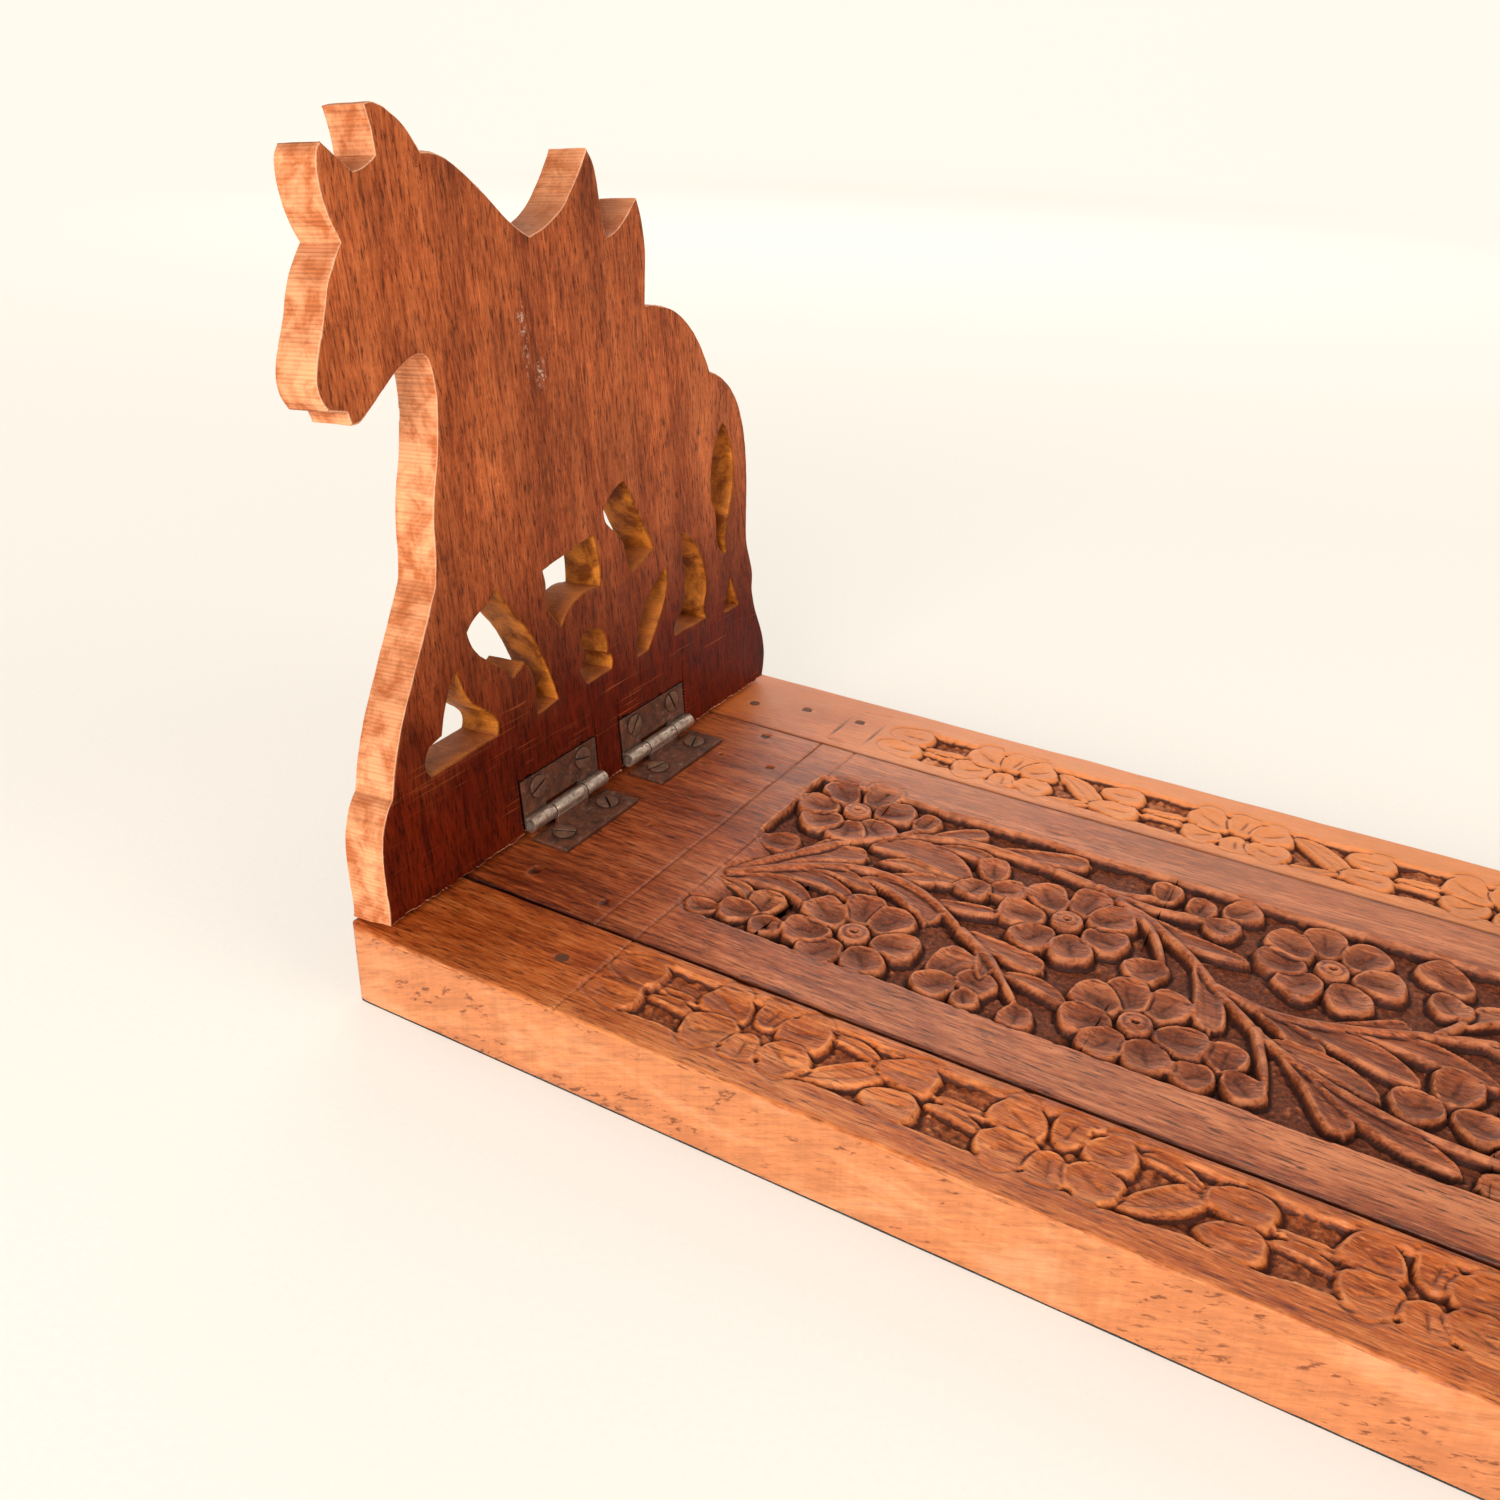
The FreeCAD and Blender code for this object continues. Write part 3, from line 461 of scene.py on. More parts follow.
def edge_ease(distance, radius):
    """How far a surface drops near a rounded edge."""
    d = np.clip(radius - distance, 0, radius)
    return radius - np.sqrt(np.maximum(radius ** 2 - d ** 2, 0))


EASE = (0, 0.12, 0.35)


def eased(low, high, near, *middle):
    """Places across a face: the given ones, and some at given distances from both edges."""
    return np.unique(np.concatenate([[low + d for d in near], *middle, [high - d for d in near]]))


def board(name, node, xs, top_y, carve, body, material, plan_radius=(0, 0), rebate=None,
          inner_sides=(0.0, 0.0), cuts=(), seed=1):
    """A board lofted along X. Its section runs over the top, down the back, along the underside and up again.

    top_y are places across the top, carve(relief) cuts it, plan_radius rounds the front and back corners in
    plan, and rebate is (wall, height, until, side): a step along one lower edge that stops at X = until.
    inner_sides is 1 where the front or the back side faces one of the gaps in the base, and cuts are places
    along X where the mesh is parted into lengths.
    """
    low, high = corners(node)
    front, back = low[1], high[1]
    bottom, top = low[2], high[2]
    tall = top - bottom
    down = np.array([0.12, 0.35, 0.8, *np.arange(1.8, tall - 1.0, 1.1), tall - 0.5, tall])
    wide = back - front
    across = np.array([0.15, 0.5, *spaced(1.5, wide - 1.5, 5.0), wide - 0.5, wide - 0.15])
    heart = (front + back) / 2
    if rebate:
        wall = rebate[0] if rebate[3] < 0 else back - front - rebate[0]
        across = np.sort(np.append(across, (wall - 0.02, wall + 0.02)))
        heart = front + rebate[0] / 2 if rebate[3] > 0 else back - rebate[0] / 2
    y = np.concatenate([top_y, np.full(len(down), back), back - across, np.full(len(down), front)])
    z = np.concatenate([np.full(len(top_y), top), top - down, np.full(len(across), bottom), top - down[::-1]])
    count_x, count = len(xs), len(y)
    x = np.repeat(xs, count).reshape(count_x, count)
    y = np.tile(y, (count_x, 1))
    z = np.tile(z, (count_x, 1))

    relief = Relief(x[:, :len(top_y)] - BASE_LEFT, y[:, :len(top_y)] - BASE_FRONT)
    carve(relief)
    mark_surface(relief)
    height = relief.height.reshape(count_x, len(top_y))

    # round the long edges by an uneven worn radius, and the ends where they are free
    from_side = np.minimum(y - front, back - y)
    in_gap = np.where(y < (front + back) / 2, *inner_sides)
    spread = np.where(in_gap > 0, 0.12, 0.3)
    worn = np.where(in_gap > 0, 0.3, 0.55) + spread * noise(x, y * 0 + seed, 11, seed)
    on_top = np.zeros((count_x, count), bool)
    on_top[:, :len(top_y)] = True
    lowered = np.zeros_like(z)
    lowered[:, :len(top_y)] = height
    lowered -= np.where(on_top, edge_ease(from_side, worn), 0)
    on_side = (~on_top) & (from_side < 1e-6)
    drop = np.minimum(top - z, z - bottom)
    inset = np.where(on_side, edge_ease(drop, worn) + 0.05 * (1 + noise(x, z * 3, 5, seed + 4)), 0)
    y += np.where(y > (front + back) / 2, -inset, inset)
    z += lowered
    for end in (xs[0], xs[-1]):
        shrink = edge_ease(np.abs(x - end), 0.6)
        z = np.where(on_top, z - shrink, bottom + (z - bottom) * (1 - shrink / tall))
        y -= (y - (front + back) / 2) * 2 * shrink / (back - front)
    for radius, side in zip(plan_radius, (-1, 1)):
        if radius:
            for end in (xs[0], xs[-1]):
                step_in = edge_ease(np.abs(x - end), radius)
                limit = (back - step_in) if side > 0 else (front + step_in)
                y = np.minimum(y, limit) if side > 0 else np.maximum(y, limit)
    if rebate:
        wall, rise, until, side = rebate
        inner = (y - front > wall) if side > 0 else (back - y > wall)
        floor = np.where(inner & (x < until), bottom + rise, bottom)
        z = np.maximum(z, floor)

    recess, wear_and_painted_light = np.zeros_like(z), np.zeros_like(z)
    recess[:, :len(top_y)] = np.clip(-height / 2.2, 0, 1)
    # -1 in creases for painted shade, up to 1 on ridges and by the top edges for pale worn edges with a
    # painted highlight
    wear_and_painted_light[:, :len(top_y)] = ridges(height)
    edge_wear_and_highlight = np.where(on_side, np.exp(-drop / 0.9), 0) + np.where(on_top, np.exp(-from_side / 0.8), 0)
    wear_and_painted_light = np.clip(wear_and_painted_light + 0.8 * edge_wear_and_highlight * (1 - in_gap), -1, 1)
    # painted shade on the sides facing the gaps in the base, and along the top edges beside them
    gap_shade = in_gap * np.where(on_side, 1, np.exp(-from_side / 0.35))
    side = on_side * (1.0 - in_gap)
    verts = np.stack([x, y, z], -1)

    rows = [0, *(int(np.searchsorted(xs, cut)) for cut in cuts), count_x - 1]
    for number, (start, stop) in enumerate(zip(rows, rows[1:])):
        span = stop - start
        ring = np.arange(count)
        i, j = np.meshgrid(np.arange(span), np.arange(count), indexing="ij")
        k = (j + 1) % count
        faces = np.stack([i * count + j, (i + 1) * count + j, (i + 1) * count + k, i * count + k], -1)
        faces = faces.reshape(-1, 4).tolist()
        part = slice(start, stop + 1)
        places = [verts[part].reshape(-1, 3)]
        first = (span + 1) * count
        for row, way in ((start, 1), (stop, -1)):
            places += [verts[row], [(xs[row], heart, bottom + 0.6 * tall)]]
            hub = np.full(count, first + count)
            faces += np.stack([first + ring, first + (ring + way) % count, hub], -1).tolist()
            first += count + 1
        end_grain = np.ones(2 * count + 2)
        attributes = {"side": np.append(side[part], end_grain)}
        for key, values in (("recess", recess), ("wear_and_painted_light", wear_and_painted_light), ("gap_shade", gap_shade)):
            attributes[key] = np.append(values[part], 0 * end_grain)
        make_object(f"{name}_{number + 1}" if cuts else name, np.vstack(places), faces, attributes,
                    body, material, (node,) if number == 0 else ())


def ridges(height):
    """How much each place stands above (or below) what is around it, from -1 in creases to 1 on ridges."""
    around = height
    for axis in (0, 1):
        for _ in range(3):
            pad = [(1, 1) if a == axis else (0, 0) for a in (0, 1)]
            wide = np.pad(around, pad, mode="edge")
            around = (np.take(wide, range(0, wide.shape[axis] - 2), axis)
                      + np.take(wide, range(1, wide.shape[axis] - 1), axis)
                      + np.take(wide, range(2, wide.shape[axis]), axis)) / 3
    return np.clip((height - around) / 0.25, -1, 1)


# The tongue board's mesh is in lengths that end here, from the base's left end.
TONGUE_LENGTHS = (66.0, 130.0, 194.0)
FINE = 0.28


def make_base(wood):
    """The tongue board in its lengths, the block, and the two rails."""
    board_low, board_high = corners("centre_board")
    field = (FIELD_LOW[1] + BASE_FRONT - 1.0, FIELD_HIGH[1] + BASE_FRONT + 1.0)
    top_y = eased(board_low[1], board_high[1], (*EASE, 0.7), spaced(board_low[1] + 1.2, field[0], 0.8),
                  spaced(*field, FINE), spaced(field[1], board_high[1] - 1.2, 0.8))
    carved = (BASE_LEFT + 9.0, BASE_LEFT + FIELD_HIGH[0] + 1.0)
    xs = stations(board_low[0], board_high[0], *carved, FINE, 0.8)
    board("tongue_board_length", "centre_board", xs, top_y, carve_vine, "tongue_board",
          wood["board"], inner_sides=(1.0, 1.0), cuts=[BASE_LEFT + x for x in TONGUE_LENGTHS], seed=5)

    block_low, block_high = corners("end_block")
    xs = stations(block_low[0], block_high[0], block_low[0], block_high[0], 0.7, 0.7)
    board("block_top", "end_block", xs, spaced(block_low[1], block_high[1], 0.7), lambda relief: None,
          "fork_base", wood["board"], seed=6)

    rebate_end = block_low[0]
    rebate_height = corners("fork_batten")[1][2]
    rail_wall = corners("fork_batten")[0][1] - BASE_FRONT
    borders = {"front": (14.2, 54.0, 1, 1, 41), "back": (127.8, 56.0, -1, -1, 47)}
    for rail, (middle, first, flip, side, seed) in borders.items():
        low, high = corners(f"{rail}_rail")
        last = first + BORDER_REPEATS * BORDER_STEP
        xs = stations(low[0], high[0], BASE_LEFT + first - 7, BASE_LEFT + last - 7, 0.32, 0.9)
        xs = np.unique(np.append(xs, [rebate_end, rebate_end + 0.02]))
        rail_y = eased(low[1], high[1], EASE, spaced(low[1] + 0.7, high[1] - 0.7, 0.32))
        board(f"{rail}_rail_carved", f"{rail}_rail", xs, rail_y,
              lambda relief: carve_border(relief, middle, first, flip, seed), "fork_base",
              wood["rail"], plan_radius=(3, 0) if side > 0 else (0, 3),
              rebate=(rail_wall, rebate_height, rebate_end, side),
              inner_sides=(float(side < 0), float(side > 0)), seed=seed)


# ---------------------------------------------------------------- horse panels

HINGES = {joint["name"]: joint for joint in frame["joints"] if joint["type"] == "hinge"}
PANEL_SETBACK = 0.9
PANEL_THICKNESS = 9.6
MORTISE_DEPTH = 1.15
LEAN = math.radians(5.2)


class PanelPlane:
    """The panel's own frame: out of its inner face, across the stand, and up from its hinge axis."""

    def __init__(self, side):
        self.sign = -1 if side == "left" else 1
        self.axis = np.array(HINGES[f"{side}_panel_fold"]["pos_m"]) / MM
        turn = Matrix.Rotation(self.sign * LEAN, 3, "Y")
        self.turn = np.array(turn)

    def to_world(self, out, across, up):
        local = np.stack([self.sign * out, across, up], -1)
        return local @ self.turn.T + self.axis

    def from_world(self, points):
        local = (points - self.axis) @ self.turn
        return local[:, 0] * self.sign, local[:, 1], local[:, 2]


def face_loops(node, plane):
    """Closed outlines of a panel's outer face, as the CAD solid has them: the silhouette and its openings."""
    mesh = frame["nodes"][node].data
    co = np.empty(len(mesh.vertices) * 3)
    mesh.vertices.foreach_get("co", co)
    out, across, up = plane.from_world(co.reshape(-1, 3) / MM)
    mesh.calc_loop_triangles()
    tris = np.empty(len(mesh.loop_triangles) * 3, int)
    mesh.loop_triangles.foreach_get("vertices", tris)
    tris = tris.reshape(-1, 3)
    flat = np.abs(out - (PANEL_SETBACK + PANEL_THICKNESS)) < 0.02
    keys = [(round(float(a), 3), round(float(b), 3)) for a, b in zip(across, up)]
    edges = {}
    for tri in tris[flat[tris].all(1)]:
        ids = [keys[v] for v in tri]
        edges.update(dict.fromkeys(zip(ids, ids[1:] + ids[:1])))
    following = {a: b for a, b in edges if (b, a) not in edges}
    loops = []
    while following:
        start, here = following.popitem()
        loop = [start]
        while here != start:
            loop.append(here)
            here = following.pop(here)
        loops.append(np.array(loop))
    loops.sort(key=len, reverse=True)
    return loops


def resampled(loop, step):
    """Even places along a closed outline. Its corners stay, and the stretches between them are smoothed."""
    ahead, behind = np.roll(loop, -1, 0) - loop, loop - np.roll(loop, 1, 0)
    turn = np.abs(np.angle(np.exp(1j * (np.arctan2(ahead[:, 1], ahead[:, 0])
                                        - np.arctan2(behind[:, 1], behind[:, 0])))))
    sharp = np.flatnonzero(turn > math.radians(24))
    loop = np.roll(loop, -sharp[0], 0)
    stops = np.append(sharp - sharp[0], len(loop))
    closed = np.vstack([loop, loop[:1]])
    pieces = []
    for a, b in zip(stops, stops[1:]):
        run = closed[a:b + 1]
        long = np.append(0, np.cumsum(np.hypot(*np.diff(run, axis=0).T)))
        places = np.linspace(0, long[-1], max(2, int(round(long[-1] / step)) + 1))
        fine = np.stack([np.interp(places, long, run[:, k]) for k in (0, 1)], 1)
        for _ in range(6):
            if len(fine) > 4:
                fine[1:-1] = 0.25 * fine[:-2] + 0.5 * fine[1:-1] + 0.25 * fine[2:]
        pieces.append(fine[:-1])
    return np.vstack(pieces)


def outward(loop):
    """Unit normals of an outline that has the wood on its left."""
    along = np.roll(loop, -1, 0) - np.roll(loop, 1, 0)
    along /= np.maximum(np.hypot(along[:, 0], along[:, 1]), 1e-9)[:, None]
    return np.stack([along[:, 1], -along[:, 0]], 1)


def crossings(starts, ends, level):
    """Where the outlines' edges cross a level, in order."""
    crossing = (starts[:, 1] > level) != (ends[:, 1] > level)
    a, b = starts[crossing], ends[crossing]
    return np.sort(a[:, 0] + (level - a[:, 1]) / (b[:, 1] - a[:, 1]) * (b[:, 0] - a[:, 0]))


def stretches(loops):
    """Each loop's slice of the places of all loops."""
    stops = np.cumsum([len(loop) for loop in loops])
    return [slice(stop - len(loop), stop) for loop, stop in zip(loops, stops)]


def following_places(loops):
    """The place after each one around its own loop."""
    return np.concatenate([part.start + (np.arange(len(loop)) + 1) % len(loop)
                           for loop, part in zip(loops, stretches(loops))])


def fill_face(loops, step, fine_box=None, fine_step=None):
    """Triangles over a face with openings. Returns the interior places and triangles over all places."""
    rims = np.vstack(loops)
    tree = kdtree.KDTree(len(rims))
    for index, (a, b) in enumerate(rims):
        tree.insert((a, b, 0), index)
    tree.balance()
    low, high = rims.min(0), rims.max(0)
    ends = np.vstack([np.roll(loop, -1, 0) for loop in loops])
    layers = [(step, None)]
    if fine_box:
        layers.append((fine_step, fine_box))
    interior = []
    for spacing, window in layers:
        xs = np.arange(low[0] + spacing / 2, high[0], spacing)
        ys = np.arange(low[1] + spacing / 2, high[1], spacing)
        wood = np.array([np.searchsorted(crossings(rims, ends, level), xs) % 2 == 1 for level in ys])
        gx, gy = np.meshgrid(xs, ys)
        if fine_box:
            within = ((gx > fine_box[0]) & (gx < fine_box[1]) & (gy > fine_box[2]) & (gy < fine_box[3]))
            wood &= within if window else ~within
        stagger = (np.arange(len(ys)) % 2)[:, None] * spacing / 2
        for a, b in zip((gx + stagger)[wood], gy[wood]):
            if tree.find((a, b, 0))[2] > 0.6 * spacing:
                interior.append((a, b))
    interior = np.array(interior)
    places = np.vstack([rims, interior])
    edges = list(enumerate(following_places(loops).tolist()))
    done = delaunay_2d_cdt([Vector(p) for p in places.tolist()], edges, [], 0, 1e-7)
    source = [ids[0] if ids else -1 for ids in done[3]]
    triangles = np.array([[source[v] for v in face] for face in done[2]])
    triangles = triangles[(triangles >= 0).all(1)]
    on_rim = (triangles < len(rims)).all(1)
    middle = places[triangles[on_rim]].mean(1)
    keep = np.ones(len(triangles), bool)
    keep[np.flatnonzero(on_rim)] = [(crossings(rims, ends, y) > x).sum() % 2 == 1 for x, y in middle]
    return interior, triangles[keep]


def mortise_depths(across, up):
    """Depth of the hinge mortises chopped into the inner face, with saw cuts that run past their tops."""
    depth = np.zeros_like(across)
    for hinge in ("front", "back"):
        low, high = corners(f"left_{hinge}_base_leaf")
        a, b = low[1] - 0.35, high[1] + 0.9
        top = 9.9 + 0.25 * noise(across, up, 1.2, 51)
        edge = np.minimum.reduce([across - a, b - across, top - up])
        depth = np.maximum(depth, MORTISE_DEPTH * smooth(-0.12, 0.12, edge))
        for cut in (a, b - 0.3):
            line = np.exp(-((across - cut) / 0.22) ** 2) * smooth(16.5, 11.0, up)
            depth = np.maximum(depth, 0.7 * line * (up < 16))
    return depth


def saw_marks(length, seed):
    """Fine ridges that a fretsaw leaves across a sawn edge, by distance along the outline."""
    flat = np.zeros_like(length)
    pitch = 0.5 * np.sin(2 * math.pi * length / 1.05 + 2.5 * noise(length, flat, 3.0, seed))
    rough, wavy = noise(length, flat, 0.8, seed + 1), noise(length, flat, 7.0, seed + 2)
    return 0.045 * pitch + 0.05 * rough + 0.12 * wavy


ROWS = (0.0, 0.12, 0.38, 2.2, 4.2, 6.2, 8.2, 9.22, 9.48, 9.6)
INSETS = (0.36, 0.12, 0.0, 0.0, 0.0, 0.0, 0.0, 0.0, 0.12, 0.36)


def make_horse(side, material):
    """One sawn horse panel: a plain inner face, sawn edges and openings, and an incised outer face."""
    plane = PanelPlane(side)
    node = f"{side}_horse_panel"
    loops = [resampled(loop, 0.42) for loop in face_loops(node, plane)]
    area = [0.5 * np.sum(l[:, 0] * np.roll(l[:, 1], -1) - l[:, 1] * np.roll(l[:, 0], -1)) for l in loops]
    loops = [l if (a > 0) == (n == 0) else l[::-1] for n, (l, a) in enumerate(zip(loops, area))]
    rim = np.vstack(loops)
    normal = np.vstack([outward(loop) for loop in loops])
    length = np.concatenate([np.cumsum(np.hypot(*(loop - np.roll(loop, 1, 0)).T)) + 40.0 * number
                             for number, loop in enumerate(loops)])
    opening = np.concatenate([np.full(len(l), float(n > 0)) for n, l in enumerate(loops)])
    bottom = rim[:, 1] < rim[:, 1].min() + 0.05

    count = len(rim)
    rows_out, rows_across, rows_up = [], [], []
    for depth, inset in zip(ROWS, INSETS):
        ripple = saw_marks(length + 0.12 * depth, 61) * (inset < 0.05)
        ripple = ripple + 0.05 * noise(length, np.full(count, depth), 1.5, 64) - 0.14
        uneven = 1 + 0.5 * noise(length, np.full(count, depth * 0), 4.0, 66)
        splinter = np.where(bottom, 0.55 * np.abs(noise(rim[:, 0], rim[:, 0] * 0, 0.9, 67)) * (depth < 3), 0)
        move = ripple - inset * uneven - splinter
        rows_out.append(np.full(count, depth))
        rows_across.append(rim[:, 0] + normal[:, 0] * move)
        rows_up.append(rim[:, 1] + normal[:, 1] * move)

    def face_at(row, step, fine_box=None, fine_step=None):
        places = np.stack([rows_across[row], rows_up[row]], 1)
        return fill_face([places[part] for part in stretches(loops)], step, fine_box, fine_step)

    inner, inner_tris = face_at(0, 1.1, (-34.0, 36.0, -3.0, 17.5), 0.42)
    outer, outer_tris = face_at(len(ROWS) - 1, 0.56)

    relief = Relief(outer[:, 0], outer[:, 1])
    carve_horse(relief)
    rim_relief = Relief(rows_across[-1], rows_up[-1])
    carve_horse(rim_relief)

    uneven_in = 0.05 * (1 + noise(inner[:, 0] * 3, inner[:, 1], 6, 71))
    depth_in = mortise_depths(inner[:, 0], inner[:, 1]) + uneven_in
    rim_in = mortise_depths(rows_across[0], rows_up[0])
    rows_out[0] = rows_out[0] + rim_in
    rows_out[1] = np.maximum(rows_out[1], rim_in + 0.05)
    rows_out[2] = np.maximum(rows_out[2], rim_in + 0.10)
    rows_out[-1] = rows_out[-1] + rim_relief.height
    rows_out[-2] = np.minimum(rows_out[-2], rows_out[-1] - 0.05)

    out = np.concatenate(rows_out + [depth_in, PANEL_THICKNESS + relief.height])
    across = np.concatenate(rows_across + [inner[:, 0], outer[:, 0]])
    up = np.concatenate(rows_up + [inner[:, 1], outer[:, 1]])
    verts = plane.to_world(out + PANEL_SETBACK, across, up)

    first_inner = len(ROWS) * count
    first_outer = first_inner + len(inner)
    inner_ids = np.where(inner_tris < count, inner_tris, inner_tris - count + first_inner)
    last_row = (len(ROWS) - 1) * count
    outer_ids = np.where(outer_tris < count, outer_tris + last_row, outer_tris - count + first_outer)
    following = following_places(loops)
    ring = np.stack([np.arange(count), following, following + count, np.arange(count) + count], 1)
    walls = np.concatenate([ring + row * count for row in range(len(ROWS) - 1)])
    if plane.sign < 0:
        faces = inner_ids.tolist() + outer_ids[:, ::-1].tolist() + walls[:, ::-1].tolist()
    else:
        faces = inner_ids[:, ::-1].tolist() + outer_ids.tolist() + walls.tolist()

    total = len(verts)
    cut = np.zeros(total)
    cut[count:(len(ROWS) - 1) * count] = 1
    hollow = np.zeros(total)
    hollow[:len(ROWS) * count] = np.tile(opening, len(ROWS))
    recess, wear_and_painted_light = np.zeros(total), np.zeros(total)
    recess[first_outer:] = np.clip(-relief.height / 1.2, 0, 1)
    recess[first_inner:first_outer] = np.clip(depth_in / 1.2 - 0.15, 0, 1)
    # rows beside both faces: pale rubbed edges with a painted highlight on the outline, and a painted shadow
    # line round the openings
    wear_and_painted_light[count:2 * count] = wear_and_painted_light[last_row - count:last_row] = 0.8
    attributes = {"cut": cut, "hollow": hollow, "recess": recess, "wear_and_painted_light": wear_and_painted_light,
                  "foot": smooth(78, 4, up), "along": np.concatenate(
                      [np.tile(length, len(ROWS)), np.zeros(len(inner) + len(outer))])}
    body = HINGES[f"{side}_panel_fold"]["child"]
    make_object(f"{side}_horse", verts, faces, attributes, body, material, replaces=(node,))


# Cuts on the horse's outer face, across the stand and up from the hinge axis. The face is out of sight in the
# usual view, and holds the tack and mane that its outline asks for.
HORSE_GROOVES = (
    # bridle and reins
    ((-62, 98), (-56, 96), (-50.5, 93.5), 1.6), ((-62.6, 101), (-56, 99.4), (-49, 96.5), 1.4),
    ((-54.5, 97), (-49, 107), (-43.5, 119), 1.5), ((-55.5, 114), (-49, 117), (-42.5, 122), 1.5),
    ((-52, 98), (-38, 101), (-22, 108), (-9, 112), 1.5),
    # mouth and jaw
    ((-63.2, 93.4), (-59, 93), (-56, 94.5), 1.1), ((-47.5, 98), (-42.5, 104), (-41, 112), 1.3),
    # chest, shoulder and thigh
    ((-40, 92), (-36, 78), (-38.5, 64), 1.3), ((-18, 96), (-27, 80), (-26, 66), (-18, 57), 1.6),
    ((30, 90), (25, 76), (29, 62), (38, 52), 1.6), ((52, 79), (50.5, 72), (55, 67.5), 1.4),
    # saddle cloth and girth
    ((-7.5, 112), (-9, 98), (-5, 84), 1.7), ((-5, 84), (9, 79.5), (23, 84), 1.7),
    ((23, 84), (28, 97), (27, 112), 1.7), ((-4, 109), (-5.2, 98), (-1.8, 87.5), 1),
    ((-1.8, 87.5), (9, 83.6), (20, 87.4), 1), ((20, 87.4), (24, 98), (23.5, 109), 1),
    ((4.5, 79.5), (4, 68), (4.5, 56), 1.2), ((9.5, 79.5), (9.5, 69), (10, 60), 1.2),
    # tail strands
    ((59, 73), (62.2, 62), (61, 46), (60, 30), 1.1), ((55, 75), (61, 69), (63.6, 60), 1.1),
    # hooves
    ((-33, 27), (-28.5, 28.6), (-23.5, 26.6), 1.2), ((-14.5, 27.5), (-10, 28.6), (-5.5, 27), 1.2),
    ((5, 27.5), (9.5, 28.6), (14, 27), 1.2), ((20.5, 26.5), (26, 28.6), (31, 27), 1.2),
    # ground strip
    ((-64, 19.2), (-20, 19.6), (20, 19.6), (63, 19.2), 1.3), ((-66, 1.2), (-20, 1), (20, 1), (66, 1.2), 1.3),
)
MANE_ROOTS = ((-40.5, 130), (-36.5, 127.5), (-32, 125), (-27, 122.4), (-22, 118.6), (-17, 114.8),
              (-12, 111.0))


def carve_horse(relief):
    """Eye, tack, mane, saddle flower and a leaf border, cut into the flat outer face."""
    for *points, width in HORSE_GROOVES:
        relief.leaf(points, width, "groove", depth=0.85)
    for x, y in MANE_ROOTS:
        relief.leaf(((x, y), (x - 3.0, y - 6.0), (x - 2.0, y - 12.5)), 3.4, top=-0.1, depth=0.7)
    relief.dish(-48.2, 111.5, 2.6, 1.5, 35, rim=-0.05, depth=0.7, moat=0.2)
    relief.dish(-62.0, 96.2, 0.9, 0.7, 40, rim=-0.05, depth=0.6, moat=0.1)
    for cx, cy, scale, petals in ((9.2, 97.0, 0.78, 8), (41.0, 74.5, 0.64, 7), (-26.5, 88.5, 0.54, 7)):
        turns = np.radians(70 + 360 / petals * np.arange(petals))
        middles = [(cx + 8.8 * scale * math.cos(t), cy + 8.8 * scale * math.sin(t)) for t in turns]
        relief.flower(cx, cy, middles, scale)
    for turn in (20, 140, 260):
        c, s = math.cos(math.radians(turn)), math.sin(math.radians(turn))
        relief.leaf(((41 + 8.6 * c, 74.5 + 8.6 * s), (41 + 13 * c - 2 * s, 74.5 + 13 * s + 2 * c),
                     (41 + 16 * c - 5 * s, 74.5 + 16 * s + 5 * c)), 3.6, top=-0.1, depth=0.7)
    for step in range(11):
        x = -60.0 + 12.0 * step
        relief.dish(x, 13.6, 3.4, 2.4, 35, rim=-0.05, depth=0.7, moat=0.25)
        relief.dish(x + 1.0, 6.6, 3.4, 2.4, -35, rim=-0.05, depth=0.7, moat=0.25)
        relief.leaf(((x - 5.5, 10.0), (x, 10.6), (x + 5.5, 10.0)), 1.5, "groove", depth=0.6)


# ---------------------------------------------------------------- metal

def softened(node, width, body, material, name):
    """A metal piece from its CAD node, with its sharp edges rubbed round."""
    bm = bmesh.new()
    bm.from_mesh(frame["nodes"][node].data)
    bmesh.ops.remove_doubles(bm, verts=bm.verts, dist=2e-6)
    bmesh.ops.dissolve_limit(bm, angle_limit=math.radians(1.0), verts=bm.verts, edges=bm.edges)
    sharp = [e for e in bm.edges if len(e.link_faces) == 2 and e.calc_face_angle(0) > math.radians(32)]
    bmesh.ops.bevel(bm, geom=sharp, offset=width * MM, segments=2, profile=0.6, affect="EDGES",
                    clamp_overlap=True)
    bmesh.ops.triangulate(bm, faces=[f for f in bm.faces if len(f.verts) > 4])
    mesh = bpy.data.meshes.new(name)
    bm.to_mesh(mesh)
    bm.free()
    dressed(name, mesh, 35, body, material, (node,))


def make_hinges(metal):
    for side in ("left", "right"):
        joint = HINGES[f"{side}_panel_fold"]
        for hinge in ("front", "back"):
            for leaf, body in (("base", joint["parent"]), ("panel", joint["child"])):
                node = f"{side}_{hinge}_{leaf}_leaf"
                softened(node, 0.16, body, metal["leaf"], f"{node}_worn")
        for leaf, body in (("base", joint["parent"]), ("panel", joint["child"])):
            node = f"{side}_{leaf}_screws"
            softened(node, 0.17, body, metal["screw"], f"{node}_worn")


# ---------------------------------------------------------------- materials

def linear(red, green, blue):
    """A colour as a painter names it, 0 to 255, in the renderer's linear light."""
    return tuple((c / 255 / 12.92) if c <= 10 else ((c / 255 + 0.055) / 1.055) ** 2.4
                 for c in (red, green, blue)) + (1.0,)


